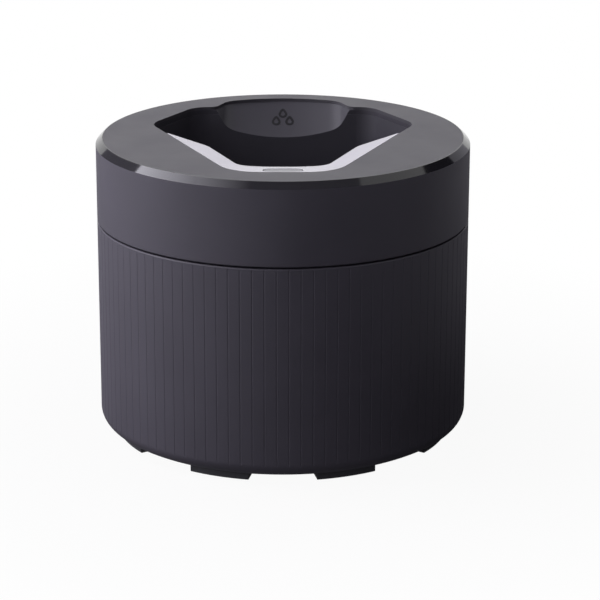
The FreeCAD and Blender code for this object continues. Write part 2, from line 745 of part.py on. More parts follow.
def filter_basket():
    bottom = CARTRIDGE_FLOOR_TOP + BASKET_FLOOR_GAP
    inner = BASKET_RADIUS - BASKET_WALL
    cup = lathe(
        sharp(
            (0, bottom),
            (BASKET_RADIUS, bottom),
            (BASKET_RADIUS, LID_BOTTOM - BASKET_WALL),
            (BASKET_RADIUS + BASKET_FLANGE, LID_BOTTOM - BASKET_WALL),
            (BASKET_RADIUS + BASKET_FLANGE, LID_BOTTOM),
            (inner, LID_BOTTOM),
            (inner, bottom + BASKET_WALL),
            (0, bottom + BASKET_WALL),
        ),
        DRAIN,
    )
    slot = block(
        inner - OVERSHOOT,
        BASKET_RADIUS + OVERSHOOT,
        -BASKET_SLOT_WIDTH / 2,
        BASKET_SLOT_WIDTH / 2,
        bottom + BASKET_WALL,
        bottom + BASKET_WALL + BASKET_SLOT_HEIGHT,
    )
    slot.translate(DRAIN)
    return cup.cut(Part.makeCompound(spread(slot, BASKET_SLOTS, DRAIN)))


def filter_foam():
    bottom = CARTRIDGE_FLOOR_TOP + BASKET_FLOOR_GAP + BASKET_WALL
    return disc(BASKET_RADIUS - BASKET_WALL - LOOSE_FIT, bottom, bottom + FOAM_HEIGHT, DRAIN)


# ================================================================ top cover, deck plate, trim and basin
def top_cover():
    recess = BODY_RADIUS - DECK_BEVEL - BEVEL_LAND
    shell = lathe(
        sharp(
            (0, WEB_BOTTOM),
            (COVER_INNER, WEB_BOTTOM),
            (COVER_INNER, BAND_BOTTOM),
            (BODY_RADIUS - EDGE_BREAK, BAND_BOTTOM),
            (BODY_RADIUS, BAND_BOTTOM + EDGE_BREAK),
            (BODY_RADIUS, DECK - DECK_BEVEL),
            (BODY_RADIUS - DECK_BEVEL, DECK),
            (recess, DECK),
            (recess, PLATE_BOTTOM),
            (0, PLATE_BOTTOM),
        )
    )
    shell = shell.cut(prism(grown(OPENING, WEB_REACH), WEB_BOTTOM - SLIP, PLATE_BOTTOM + SLIP))
    posts = discs(POST_RADIUS, POST_SEAT, WEB_BOTTOM + SLIP, post_centres())
    bore_top = POST_SEAT + CASE_SCREW_GRIP + BORE_SPARE
    bores = discs(CASE_SCREW_RADIUS + FIT, POST_SEAT - SLIP, bore_top, post_centres())
    hooks = [hook(0.0, bearing) for bearing in HOOK_BEARINGS]
    return fused([shell] + posts + hooks).cut(Part.makeCompound(bores))


def hook(clearance, bearing):
    """A snap bead inside the cover's wall; with a clearance, the notch for it in the chassis's collar."""
    middle = BAND_BOTTOM + CHASSIS_RISE / 2
    half_height = HOOK_HEIGHT / 2 + clearance
    half_width = HOOK_WIDTH / 2 + clearance
    inner = COVER_INNER - HOOK_DEPTH - clearance
    bar = block(inner, BODY_RADIUS, -half_width, half_width, middle - half_height, middle + half_height)
    bar = bar.common(disc(COVER_INNER + FIT, middle - HOOK_HEIGHT, middle + HOOK_HEIGHT))
    return turned(bar, bearing)


def deck_plate():
    radius = BODY_RADIUS - DECK_BEVEL - BEVEL_LAND - FIT
    return disc(radius, PLATE_BOTTOM, DECK).cut(prism(OPENING, PLATE_BOTTOM - SLIP, DECK + SLIP))


def lip_trim():
    blank = prism(grown(MOUTH, -PART_LINE), TRIM_SEAT, DECK)
    blank = blank.cut(lip_tool())
    blank = blank.cut(well_tool(0.0, DECK + OVERSHOOT, TRIM_SEAT - OVERSHOOT))
    rearmost = lip_start()[1] - TRIM_TIP
    blank = blank.common(block(-BODY_RADIUS, BODY_RADIUS, -BODY_RADIUS, rearmost, TRIM_SEAT, DECK))
    return blank.cut(pill(BUTTON_GAP, TRIM_SEAT - SLIP, DECK + SLIP))


def basin():
    lean = math.tan(math.radians(WELL_DRAFT))
    chimney_bottom = FLANGE_BOTTOM - CHIMNEY_DEPTH
    inlet = inlet_point()
    above_flange = block(-BODY_RADIUS, BODY_RADIUS, -BODY_RADIUS, BODY_RADIUS, FLANGE_TOP, DECK)
    solids = [
        well_tool(BASIN_WALL, FLANGE_TOP, WELL_UNDER),
        prism(grown(OPENING, FLANGE_REACH), FLANGE_BOTTOM, FLANGE_TOP),
        prism(grown(OPENING, WEB_REACH - PART_LINE), FLANGE_TOP - SLIP, PLATE_BOTTOM),
        pocket_sweep(POCKET_PANEL_REACH, POCKET_DEPTH + BASIN_WALL).cut(above_flange),
        disc(SUMP_RADIUS + BASIN_WALL, SUMP_UNDER, WELL_FLOOR, DRAIN),
        disc(SPOUT_RADIUS, SPOUT_END, SUMP_FLOOR, DRAIN),
        pill(BUTTON_GAP + CHIMNEY_WALL, chimney_bottom, FLANGE_TOP),
        inlet_elbow(inlet),
    ]
    solids += discs(DISH_RADIUS + BASIN_WALL, DISH_FLOOR - BASIN_WALL, WELL_FLOOR, dish_centres())
    solids += discs(BOARD_POST_RADIUS, board_top(), FLANGE_TOP, board_screw_points())
    bore = SPOUT_RADIUS - SPOUT_WALL
    cuts = [
        well_tool(0.0, DECK + OVERSHOOT, WELL_FLOOR),
        prism(MOUTH, TRIM_SEAT, DECK),
        pocket_sweep(0.0, POCKET_DEPTH),
        disc(SUMP_RADIUS, SUMP_FLOOR, WELL_FLOOR + SLIP, DRAIN),
        disc(bore, SPOUT_END - SLIP, SUMP_FLOOR - BASIN_WALL, DRAIN),
        pill(BUTTON_GAP, chimney_bottom + CHIMNEY_FLOOR, DECK),
        disc(STEM_RADIUS + FIT, chimney_bottom - SLIP, DECK, V(0, BUTTON_Y, 0)),
    ]
    cuts += discs(DISH_RADIUS, DISH_FLOOR, WELL_FLOOR + SLIP, dish_centres())
    drain_hole = disc(DRAIN_HOLE_RADIUS, SUMP_UNDER - SLIP, SUMP_FLOOR + SLIP, DRAIN)
    outer_hole = drain_hole.translated(V(DRAIN_HOLE_CIRCLE, 0, 0))
    cuts += [drain_hole] + spread(outer_hole, DRAIN_HOLE_COUNT, DRAIN)
    screw_bore_top = board_top() + SMALL_SCREW_BITE + BORE_SPARE
    cuts += discs(SMALL_SCREW_RADIUS + FIT, board_top() - SLIP, screw_bore_top, board_screw_points())
    inner_wall = REAR_CORNER[1] - (DECK - inlet.z) * lean
    root = V(inlet.x, inner_wall - BASIN_WALL, inlet.z)
    passage = Part.makeCylinder(INLET_BORE, inlet.y + INLET_BORE - root.y, root, V(0, 1, 0))
    downway = disc(SPIGOT_RADIUS - SPIGOT_WALL, inlet_spigot_tip() - SLIP, inlet.z, inlet)
    cuts += [passage, downway]
    whole = fused(solids)
    for tool in cuts:
        whole = whole.cut(tool)
    return whole


def inlet_spigot_tip():
    return inlet_point().z - INLET_RADIUS - SPIGOT_LENGTH


def inlet_elbow(inlet):
    """The basin's inlet: a closed boss behind the well with a spigot under it for the supply hose."""
    inner_wall = REAR_CORNER[1] - BASIN_WALL
    boss = Part.makeCylinder(
        INLET_RADIUS, inlet.y + INLET_RADIUS - inner_wall, V(inlet.x, inner_wall, inlet.z), V(0, 1, 0)
    )
    return fused([boss, disc(SPIGOT_RADIUS, inlet_spigot_tip(), inlet.z, inlet)])


def basin_gasket():
    outer = prism(grown(OPENING, FLANGE_REACH - GASKET_MARGIN), FLANGE_TOP, WEB_BOTTOM)
    return outer.cut(prism(grown(OPENING, WEB_REACH + GASKET_MARGIN), FLANGE_TOP - SLIP, WEB_BOTTOM + SLIP))


# ================================================================ start button, switch and board
def button_levels():
    """The bottom of the button's cap and the underside of its chimney."""
    chimney_bottom = FLANGE_BOTTOM - CHIMNEY_DEPTH
    return (lip_height() - BUTTON_CAP_HEIGHT, chimney_bottom)


def lip_height():
    """The lip's height at the button's centre."""
    front = FRONT_CORNER[1]
    return DECK - (BUTTON_Y - front) * math.tan(math.radians(LIP_SLOPE))


def stem_end():
    return button_levels()[1] - CLIP_ROOM - CLIP_THICKNESS - STEM_BELOW_CLIP


def board_top():
    return stem_end() - PLUNGER_PROUD - SWITCH_HEIGHT


def board_screw_points():
    return [V(x, BOARD_Y, 0) for x in (-BOARD_SCREW_X, BOARD_SCREW_X)]


def start_button():
    cap_bottom, chimney_bottom = button_levels()
    middle = lip_height() - BUTTON_SUNK
    half = BUTTON_LENGTH
    above = block(-half, half, BUTTON_Y - half, BUTTON_Y + half, middle, middle + half)
    above.rotate(V(0, BUTTON_Y, middle), V(1, 0, 0), -LIP_SLOPE)
    cap = pill(0.0, cap_bottom, DECK + OVERSHOOT).cut(above)
    stem = disc(STEM_RADIUS, stem_end(), cap_bottom + SLIP, V(0, BUTTON_Y, 0))
    clip_top = chimney_bottom - CLIP_ROOM
    clip_bottom = clip_top - CLIP_THICKNESS
    around = V(0, BUTTON_Y, 0)
    groove = ring(STEM_RADIUS + OVERSHOOT, STEM_RADIUS - STEM_GROOVE, clip_bottom, clip_top, around)
    return fused([cap, stem]).cut(groove)


def button_spring():
    cap_bottom, chimney_bottom = button_levels()
    seat = chimney_bottom + CHIMNEY_FLOOR
    return coil(SPRING_RADIUS, SPRING_WIRE, seat, cap_bottom, SPRING_TURNS, V(0, BUTTON_Y, 0))


def button_clip():
    """The slotted retaining clip in the stem's groove."""
    clip_top = button_levels()[1] - CLIP_ROOM
    centre = V(0, BUTTON_Y, 0)
    bore = STEM_RADIUS - STEM_GROOVE + SNUG
    plate_bottom = clip_top - CLIP_THICKNESS
    plate = ring(CLIP_RADIUS, bore, plate_bottom, clip_top, centre)
    mouth = block(0, CLIP_RADIUS, BUTTON_Y - bore, BUTTON_Y + bore, plate_bottom - SLIP, clip_top + SLIP)
    return plate.cut(mouth)


def control_board():
    top = board_top()
    board = block(
        -BOARD_LENGTH / 2,
        BOARD_LENGTH / 2,
        BOARD_Y - BOARD_WIDTH / 2,
        BOARD_Y + BOARD_WIDTH / 2,
        top - BOARD_THICKNESS,
        top,
    )
    hole = SMALL_SCREW_RADIUS + SCREW_CLEARANCE
    holes = discs(hole, top - BOARD_THICKNESS - SLIP, top + SLIP, board_screw_points())
    return board.cut(Part.makeCompound(holes))


def tact_switch():
    top = board_top()
    half = SWITCH_SIZE / 2
    body = block(-half, half, BUTTON_Y - half, BUTTON_Y + half, top, top + SWITCH_HEIGHT)
    floor = stem_end() - PLUNGER_LENGTH - BUTTON_TRAVEL - CLIP_ROOM
    return body.cut(disc(PLUNGER_RADIUS + FIT, floor, top + SWITCH_HEIGHT + SLIP, V(0, BUTTON_Y, 0)))


def switch_plunger():
    return disc(PLUNGER_RADIUS, stem_end() - PLUNGER_LENGTH, stem_end(), V(0, BUTTON_Y, 0))


def board_chips():
    under = board_top() - BOARD_THICKNESS
    length, width, height = CHIP_SIZE
    pitch = length + CHIP_SPACING
    chips = [
        block(x - length / 2, x + length / 2, BOARD_Y - width / 2, BOARD_Y + width / 2, under - height, under)
        for x in (-pitch, 0.0)
    ]
    capacitor = disc(CAPACITOR_RADIUS, under - CAPACITOR_HEIGHT, under, V(pitch, BOARD_Y, 0))
    return chips + [capacitor]


def board_screws():
    under = board_top() - BOARD_THICKNESS
    length = BOARD_THICKNESS + SMALL_SCREW_BITE
    return [
        screw(at, under, SMALL_SCREW_RADIUS, SMALL_HEAD_RADIUS, SMALL_HEAD_HEIGHT, length, True)
        for at in board_screw_points()
    ]


# ================================================================ chassis
def chassis():
    skirt_inner = SKIRT_RADIUS - CHASSIS_WALL
    seal_middle = CONTAINER_HEIGHT - SEAL_BELOW_RIM
    land = SEAL_SECTION / 2 + SEAL_LAND
    groove_floor = CONTAINER_INNER - FIT - SEAL_SECTION - FIT
    groove_half = SEAL_SECTION / 2 + FIT
    thick_inner = groove_floor - CHASSIS_WALL
    shell = lathe(
        sharp(
            (0, CHASSIS_UNDER),
            (TUB_RADIUS, CHASSIS_UNDER),
            (TUB_RADIUS, SEAT),
            (SKIRT_RADIUS, SEAT),
            (SKIRT_RADIUS, seal_middle - groove_half),
            (groove_floor, seal_middle - groove_half),
            (groove_floor, seal_middle + groove_half),
            (SKIRT_RADIUS, seal_middle + groove_half),
            (SKIRT_RADIUS, BAND_BOTTOM),
            (COVER_INNER - PART_LINE, BAND_BOTTOM),
            (COVER_INNER - PART_LINE, POST_SEAT),
            (skirt_inner, POST_SEAT),
            (skirt_inner, seal_middle + land),
            (thick_inner, seal_middle + land),
            (thick_inner, seal_middle - land),
            (skirt_inner, seal_middle - land),
            (skirt_inner, SEAT + CHASSIS_WALL),
            (TUB_INNER, SEAT + CHASSIS_WALL),
            (TUB_INNER, CHASSIS_TOP),
            (0, CHASSIS_TOP),
        )
    )
    bay = battery_bay(BAY_WALL, CHASSIS_UNDER, bay_roof() + BAY_WALL)
    bosses = discs(BOSS_RADIUS, CHASSIS_UNDER, POST_SEAT, post_centres())
    inset_well = grown(WELL, -PILLAR_INSET)
    places = [spot(inset_well[i]) for i in PILLAR_CORNERS]
    pillars = discs(PILLAR_RADIUS, CHASSIS_UNDER, WELL_UNDER, places)
    pillars += [mirrored(pillar) for pillar in pillars]
    ear_bosses = discs(EAR_RADIUS, CHASSIS_UNDER, CHASSIS_UNDER + BATTERY_BOSS_HEIGHT, battery_ear_points())
    whole = fused([shell, bay] + bosses + pillars + ear_bosses)
    head_seat = case_head_seat()
    cuts = [battery_bay(0.0, CHASSIS_UNDER - SLIP, bay_roof())]
    cuts += discs(CASE_HEAD_RADIUS + LOOSE_FIT, CHASSIS_UNDER - SLIP, head_seat, post_centres())
    cuts += discs(CASE_SCREW_RADIUS + SCREW_CLEARANCE, head_seat, POST_SEAT + SLIP, post_centres())
    cuts += [
        disc(BELL_RADIUS + BELL_HOLE_GAP, CHASSIS_UNDER - SLIP, CHASSIS_TOP + SLIP, PUMP),
        disc(SPOUT_RADIUS + GROMMET_THICKNESS + FIT, CHASSIS_UNDER - SLIP, CHASSIS_TOP + SLIP, DRAIN),
    ]
    bore = SMALL_SCREW_RADIUS + FIT
    pump_bore_floor = CHASSIS_UNDER + PUMP_SCREW_TIP - BORE_SPARE
    cuts += discs(bore, pump_bore_floor, CHASSIS_TOP + SLIP, pump_ear_points())
    cover_bore_top = CHASSIS_UNDER + BATTERY_SCREW_BITE + BORE_SPARE
    cuts += discs(bore, CHASSIS_UNDER - SLIP, cover_bore_top, battery_ear_points())
    cuts += [hook(PART_LINE, bearing) for bearing in HOOK_BEARINGS]
    cuts += contact_tab_slots()
    return whole.cut(Part.makeCompound(cuts))


def case_head_seat():
    """The level that the long case screws' heads sit against, inside the bosses."""
    return POST_SEAT + CASE_SCREW_GRIP - CASE_SCREW_LENGTH


def chassis_screws():
    seat = case_head_seat()
    return [
        screw(at, seat, CASE_SCREW_RADIUS, CASE_HEAD_RADIUS, CASE_HEAD_HEIGHT, CASE_SCREW_LENGTH, True)
        for at in post_centres()
    ]


def seam_seal():
    """The ring that closes the gap between the top unit's skirt and the container's wall."""
    section = SEAL_SECTION / 2
    middle = CONTAINER_INNER - FIT - section
    return Part.makeTorus(middle, section, V(0, 0, CONTAINER_HEIGHT - SEAL_BELOW_RIM))


def drain_seal():
    """The grommet around the drain spout in the chassis's floor."""
    bore = SPOUT_RADIUS + FIT
    neck = SPOUT_RADIUS + GROMMET_THICKNESS
    lip = neck + GROMMET_LIP
    return lathe(
        sharp(
            (bore, CHASSIS_UNDER - GROMMET_LIP),
            (lip, CHASSIS_UNDER - GROMMET_LIP),
            (lip, CHASSIS_UNDER),
            (neck, CHASSIS_UNDER),
            (neck, CHASSIS_TOP),
            (lip, CHASSIS_TOP),
            (lip, CHASSIS_TOP + GROMMET_LIP),
            (bore, CHASSIS_TOP + GROMMET_LIP),
        ),
        DRAIN,
    )


# ================================================================ batteries
def cell_rows():
    front = CELL_FRONT_IN_FROM_RADIUS - BODY_RADIUS
    return (front, front + CELL_PITCH)


def cell_level():
    """The height of the cells' axes, resting on the battery cover's pad."""
    return CHASSIS_UNDER + BATTERY_PAD_HEIGHT + CELL_RADIUS


def cell_half_room():
    """Half the length inside the bay, for a cell, its nub, its spring and two contact plates."""
    return (CELL_LENGTH + CELL_NUB + CELL_SPRING_ROOM) / 2 + CONTACT_THICKNESS


def bay_roof():
    return cell_level() + CELL_RADIUS + BAY_ROOF_GAP


def battery_bay(wall, bottom, top):
    """The battery bay's inside, or with a wall its outside."""
    front, rear = cell_rows()
    side = CELL_RADIUS + BAY_SIDE_GAP + wall
    half = cell_half_room() + wall
    return block(-half, half, front - side, rear + side, bottom, top)


def battery_ear_points():
    front, rear = cell_rows()
    reach = cell_half_room() + BATTERY_EAR_REACH
    return [V(x, (front + rear) / 2, 0) for x in (-reach, reach)]


def battery_cells():
    cells = []
    for y, facing in zip(cell_rows(), (1, -1)):
        start = -facing * (cell_half_room() - CONTACT_THICKNESS - CELL_SPRING_ROOM)
        along = V(facing, 0, 0)
        can = Part.makeCylinder(CELL_RADIUS, CELL_LENGTH, V(start, y, cell_level()), along)
        nub = Part.makeCylinder(CELL_NUB_RADIUS, CELL_LENGTH + CELL_NUB, V(start, y, cell_level()), along)
        cells.append(fused([can, nub]))
    return cells


def battery_springs():
    springs = []
    for y, facing in zip(cell_rows(), (1, -1)):
        spring = coil(CELL_SPRING_RADIUS, CELL_SPRING_WIRE, 0.0, CELL_SPRING_ROOM, CELL_SPRING_TURNS)
        spring.rotate(ORIGIN, V(0, 1, 0), facing * 90)
        spring.translate(V(-facing * (cell_half_room() - CONTACT_THICKNESS), y, cell_level()))
        springs.append(spring)
    return springs


def contact_plates():
    """Where each contact plate stands: its inner face's x, its side and its low and high y."""
    half = CONTACT_SIZE / 2
    front, rear = cell_rows()
    inner = cell_half_room() - CONTACT_THICKNESS
    return [
        (inner, 1, front - half, front + half),
        (inner, 1, rear - half, rear + half),
        (-inner, -1, front - half, rear + half),
    ]


def contact_tab_top():
    return bay_roof() + BAY_WALL + CONTACT_TAB


def battery_contacts():
    plates = []
    level = cell_level()
    for face, side, low, high in contact_plates():
        outer = face + side * CONTACT_THICKNESS
        x_low = min(face, outer)
        x_high = max(face, outer)
        plate = block(x_low, x_high, low, high, level - CONTACT_SIZE / 2, level + CONTACT_SIZE / 2)
        if side > 0:
            middle = (low + high) / 2
            reach = CONTACT_TAB_WIDTH / 2
            tab = block(x_low, x_high, middle - reach, middle + reach, level, contact_tab_top())
            plate = fused([plate, tab])
        plates.append(plate)
    return plates


def contact_tab_slots():
    """Slots in the bay's roof for the two tabs that the leads are soldered to."""
    slots = []
    for face, side, low, high in contact_plates():
        if side > 0:
            middle = (low + high) / 2
            reach = CONTACT_TAB_WIDTH / 2 + LOOSE_FIT
            outer = face + CONTACT_THICKNESS + FIT
            roof = bay_roof()
            top = roof + BAY_WALL + SLIP
            slots.append(block(face - LOOSE_FIT, outer, middle - reach, middle + reach, roof - SLIP, top))
    return slots


def battery_cover():
    """The plate that closes the bay from below, with a rim and cradles for the cells and two screw ears."""
    top = BATTERY_COVER_UNDER + BATTERY_COVER_THICKNESS
    pad_top = CHASSIS_UNDER + BATTERY_PAD_HEIGHT
    plate = battery_bay(BATTERY_COVER_LIP, BATTERY_COVER_UNDER, top)
    pad = battery_bay(-LOOSE_FIT, top - SLIP, pad_top)
    rim = pad.cut(battery_bay(-LOOSE_FIT - BAY_WALL, top, pad_top + SLIP))
    ears = discs(BATTERY_EAR_RADIUS, BATTERY_COVER_UNDER, CHASSIS_UNDER, battery_ear_points())
    half = BAY_WALL / 2
    cradles = [
        pad.common(block(x - half, x + half, -BODY_RADIUS, BODY_RADIUS, top - SLIP, pad_top))
        for x in (-CRADLE_SPACING / 2, CRADLE_SPACING / 2)
    ]
    within_tub = disc(TUB_RADIUS - LOOSE_FIT, BATTERY_COVER_UNDER, SEAT)
    hole = SMALL_SCREW_RADIUS + SCREW_CLEARANCE
    holes = discs(hole, BATTERY_COVER_UNDER - SLIP, CHASSIS_UNDER + SLIP, battery_ear_points())
    return fused([plate, rim] + ears + cradles).common(within_tub).cut(Part.makeCompound(holes))


def battery_cover_seal():
    top = CHASSIS_UNDER
    bottom = top - BATTERY_SEAL_THICKNESS
    outer = battery_bay(LOOSE_FIT + BATTERY_SEAL_WIDTH, bottom, top)
    ears = discs(BATTERY_EAR_RADIUS + LOOSE_FIT, bottom - SLIP, top + SLIP, battery_ear_points())
    ring_band = outer.cut(battery_bay(LOOSE_FIT / 2, bottom - SLIP, top + SLIP))
    return ring_band.common(disc(TUB_RADIUS - LOOSE_FIT, bottom, top)).cut(Part.makeCompound(ears))


def battery_cover_screws():
    seat = BATTERY_COVER_UNDER
    length = CHASSIS_UNDER - seat + BATTERY_SCREW_BITE
    return [
        screw(at, seat, SMALL_SCREW_RADIUS, SMALL_HEAD_RADIUS, BATTERY_SCREW_HEAD, length, True)
        for at in battery_ear_points()
    ]


# ================================================================ motor
def motor_case():
    """The motor's steel can: closed below, with its end cap on top."""
    return lathe(
        sharp(
            (MOTOR_SHAFT_RADIUS + LOOSE_FIT, MOTOR_BOTTOM),
            (MOTOR_RADIUS, MOTOR_BOTTOM),
            (MOTOR_RADIUS, MOTOR_TOP - MOTOR_CAP),
            (MOTOR_RADIUS - MOTOR_CAN, MOTOR_TOP - MOTOR_CAP),
            (MOTOR_RADIUS - MOTOR_CAN, MOTOR_BOTTOM + MOTOR_CAN),
            (MOTOR_SHAFT_RADIUS + LOOSE_FIT, MOTOR_BOTTOM + MOTOR_CAN),
        ),
        PUMP,
    )


def motor_end_cap():
    cap = disc(MOTOR_RADIUS, MOTOR_TOP - MOTOR_CAP, MOTOR_TOP, PUMP)
    socket = disc(MOTOR_SHAFT_RADIUS + FIT, MOTOR_TOP - MOTOR_CAP - SLIP, MOTOR_TOP - MOTOR_CAP / 2, PUMP)
    return cap.cut(socket)


def terminal_edge():
    """Where the terminals' outer corners cross the rim of the motor's cap."""
    return -math.sqrt(MOTOR_RADIUS**2 - (TERMINAL_SPACING / 2 + TERMINAL_SIZE[1] / 2) ** 2)


def motor_terminals():
    length, width, thickness = TERMINAL_SIZE
    tabs = []
    for y in (PUMP_Y - TERMINAL_SPACING / 2, PUMP_Y + TERMINAL_SPACING / 2):
        root = -MOTOR_RADIUS / 2
        tip = terminal_edge() - length
        tabs.append(block(tip, root, y - width / 2, y + width / 2, MOTOR_TOP, MOTOR_TOP + thickness))
    return tabs


def motor_magnet():
    outer = MOTOR_RADIUS - MOTOR_CAN - FIT
    return ring(outer, outer - MAGNET_THICKNESS, MOTOR_BOTTOM + MOTOR_CAN, MOTOR_TOP - MOTOR_CAP, PUMP)


def motor_armature():
    """The slotted core of the rotor, with its commutator above it."""
    radius = MOTOR_RADIUS - MOTOR_CAN - FIT - MAGNET_THICKNESS - ARMATURE_GAP
    bottom = MOTOR_BOTTOM + MOTOR_CAN + ARMATURE_END_GAP
    top = MOTOR_TOP - MOTOR_CAP - 2 * ARMATURE_END_GAP
    bore = MOTOR_SHAFT_RADIUS + SNUG
    core = ring(radius, bore, bottom, top, PUMP)
    half = ARMATURE_SLOT_WIDTH / 2
    slot = block(ARMATURE_HUB, radius + OVERSHOOT, -half, half, bottom - SLIP, top + SLIP)
    slot.translate(PUMP)
    core = core.cut(Part.makeCompound(spread(slot, ARMATURE_SLOTS, PUMP)))
    commutator = ring(COMMUTATOR_RADIUS, bore, top - SLIP, MOTOR_TOP - MOTOR_CAP - ARMATURE_END_GAP / 2, PUMP)
    return fused([core, commutator])


def motor_shaft():
    return disc(MOTOR_SHAFT_RADIUS, coupling_split(), MOTOR_TOP - MOTOR_CAP / 2 - FIT, PUMP)


# ================================================================ pump
def pump_ear_points():
    return [PUMP + polar(EAR_REACH, bearing) for bearing in EAR_BEARINGS]


def ears(bottom, top):
    """Three screw ears and the arms that join them to a round piece on the pump's axis."""
    arm = block(0, EAR_REACH, -EAR_RADIUS, EAR_RADIUS, bottom, top)
    arm.translate(PUMP)
    arms = [turned(arm, bearing, PUMP) for bearing in EAR_BEARINGS]
    return arms + discs(EAR_RADIUS, bottom, top, pump_ear_points())


def hose_run():
    """Where the hose starts beside the pump head, its first direction, and the pump spigot's reach."""
    inlet = inlet_point()
    towards = V(inlet.x, inlet.y - PUMP_Y, 0)
    towards.normalize()
    clear_of_head = MOTOR_RADIUS + FIT + COLLAR_WALL + LOOSE_FIT
    root = V(0, PUMP_Y, CHAMBER_BOTTOM + CHAMBER_HEIGHT / 2)
    return root + towards * clear_of_head, towards, clear_of_head + HOSE_OVERLAP


def pump_housing():
    start, towards, reach = hose_run()
    flange = disc(BELL_RADIUS + BELL_HOLE_GAP + PUMP_FLANGE_OVERLAP, CHASSIS_TOP, CHAMBER_BOTTOM, PUMP)
    chamber = disc(CHAMBER_RADIUS + CHAMBER_WALL, CHASSIS_TOP, HEAD_BOTTOM, PUMP)
    tube = disc(TUBE_RADIUS + TUBE_WALL, BELL_TOP - SLIP, CHASSIS_TOP + SLIP, PUMP)
    bell = disc(BELL_RADIUS, BELL_BOTTOM, BELL_TOP, PUMP)
    root = V(0, PUMP_Y, start.z)
    spigot = Part.makeCylinder(SPIGOT_RADIUS, reach, root, towards)
    stands = discs(EAR_RADIUS, CHASSIS_TOP, HEAD_BOTTOM, pump_ear_points())
    whole = fused([flange, chamber, tube, bell, spigot] + ears(CHASSIS_TOP, CHAMBER_BOTTOM) + stands)
    cuts = [
        disc(CHAMBER_RADIUS, CHAMBER_BOTTOM, HEAD_BOTTOM + SLIP, PUMP),
        disc(TUBE_RADIUS, BELL_TOP - BELL_WALL - SLIP, CHAMBER_BOTTOM + SLIP, PUMP),
        disc(BELL_RADIUS - BELL_WALL, BELL_BOTTOM - SLIP, BELL_TOP - BELL_WALL, PUMP),
        Part.makeCylinder(SPIGOT_RADIUS - SPIGOT_WALL, reach + SLIP, root, towards),
    ]
    cuts += discs(SMALL_SCREW_RADIUS + FIT, CHASSIS_TOP - SLIP, HEAD_BOTTOM + SLIP, pump_ear_points())
    return whole.cut(Part.makeCompound(cuts))


def pump_head():
    """The chamber's lid, with a collar that holds the motor."""
    socket = MOTOR_RADIUS + FIT
    plate = disc(socket + COLLAR_WALL, HEAD_BOTTOM, MOTOR_BOTTOM, PUMP)
    collar = ring(socket + COLLAR_WALL, socket, MOTOR_BOTTOM - SLIP, MOTOR_BOTTOM + COLLAR_HEIGHT, PUMP)
    cuts = [disc(SHAFT_SEAL_RADIUS + SNUG, HEAD_BOTTOM - SLIP, MOTOR_BOTTOM + SLIP, PUMP)]
    hole = SMALL_SCREW_RADIUS + SCREW_CLEARANCE
    cuts += discs(hole, HEAD_BOTTOM - SLIP, MOTOR_BOTTOM + SLIP, pump_ear_points())
    return fused([plate, collar] + ears(HEAD_BOTTOM, MOTOR_BOTTOM)).cut(Part.makeCompound(cuts))


def pump_screws():
    length = MOTOR_BOTTOM - CHASSIS_UNDER - PUMP_SCREW_TIP
    return [
        screw(at, MOTOR_BOTTOM, SMALL_SCREW_RADIUS, SMALL_HEAD_RADIUS, SMALL_HEAD_HEIGHT, length, False)
        for at in pump_ear_points()
    ]


def shaft_seal():
    return ring(SHAFT_SEAL_RADIUS, MOTOR_SHAFT_RADIUS + FIT, HEAD_BOTTOM, MOTOR_BOTTOM, PUMP)


def coupling_top():
    return HEAD_BOTTOM - COUPLING_BELOW_HEAD


def coupling_split():
    """The level of the motor shaft's end inside the coupling."""
    return coupling_top() - COUPLING_LENGTH / 2


def shaft_coupling():
    top = coupling_top()
    bottom = top - COUPLING_LENGTH
    sleeve = disc(COUPLING_RADIUS, bottom, top, PUMP)
    upper = disc(MOTOR_SHAFT_RADIUS + SNUG, coupling_split() - SHAFT_GAP_IN_COUPLING, top + SLIP, PUMP)
    lower = disc(PUMP_SHAFT_RADIUS + SNUG, bottom - SLIP, coupling_split() - SHAFT_GAP_IN_COUPLING, PUMP)
    return sleeve.cut(upper).cut(lower)


def impeller_levels():
    bottom = BELL_BOTTOM + INTAKE_THICKNESS + IMPELLER_GAP
    return bottom, BELL_TOP - BELL_WALL - IMPELLER_GAP


def pump_shaft():
    top = coupling_split() - SHAFT_GAP_IN_COUPLING
    return disc(PUMP_SHAFT_RADIUS, impeller_levels()[0] + SNUG, top, PUMP)


def pump_bush():
    """The lower shaft bearing: a sleeve on three arms that let the liquid by."""
    bottom = BELL_TOP + BUSH_ABOVE_BELL
    top = bottom + BUSH_LENGTH
    sleeve = disc(BUSH_RADIUS, bottom, top, PUMP)
    arm = block(0, TUBE_RADIUS, -BUSH_ARM / 2, BUSH_ARM / 2, bottom, top)
    arm.translate(PUMP)
    spider = fused([sleeve] + spread(arm, BUSH_ARMS, PUMP))
    spider = spider.common(disc(TUBE_RADIUS - SNUG, bottom, top, PUMP))
    return spider.cut(disc(PUMP_SHAFT_RADIUS + FIT, bottom - SLIP, top + SLIP, PUMP))


def impeller():
    bottom, top = impeller_levels()
    hub = disc(IMPELLER_HUB, bottom, top, PUMP)
    plate = disc(IMPELLER_RADIUS, top - IMPELLER_DISC, top, PUMP)
    vane = block(0, IMPELLER_RADIUS, -VANE_THICKNESS / 2, VANE_THICKNESS / 2, bottom, top)
    vane.translate(PUMP)
    body = fused([hub, plate] + spread(vane, VANE_COUNT, PUMP))
    body = body.common(disc(IMPELLER_RADIUS, bottom, top, PUMP))
    return body.cut(disc(PUMP_SHAFT_RADIUS + SNUG, bottom + SNUG, top + SLIP, PUMP))


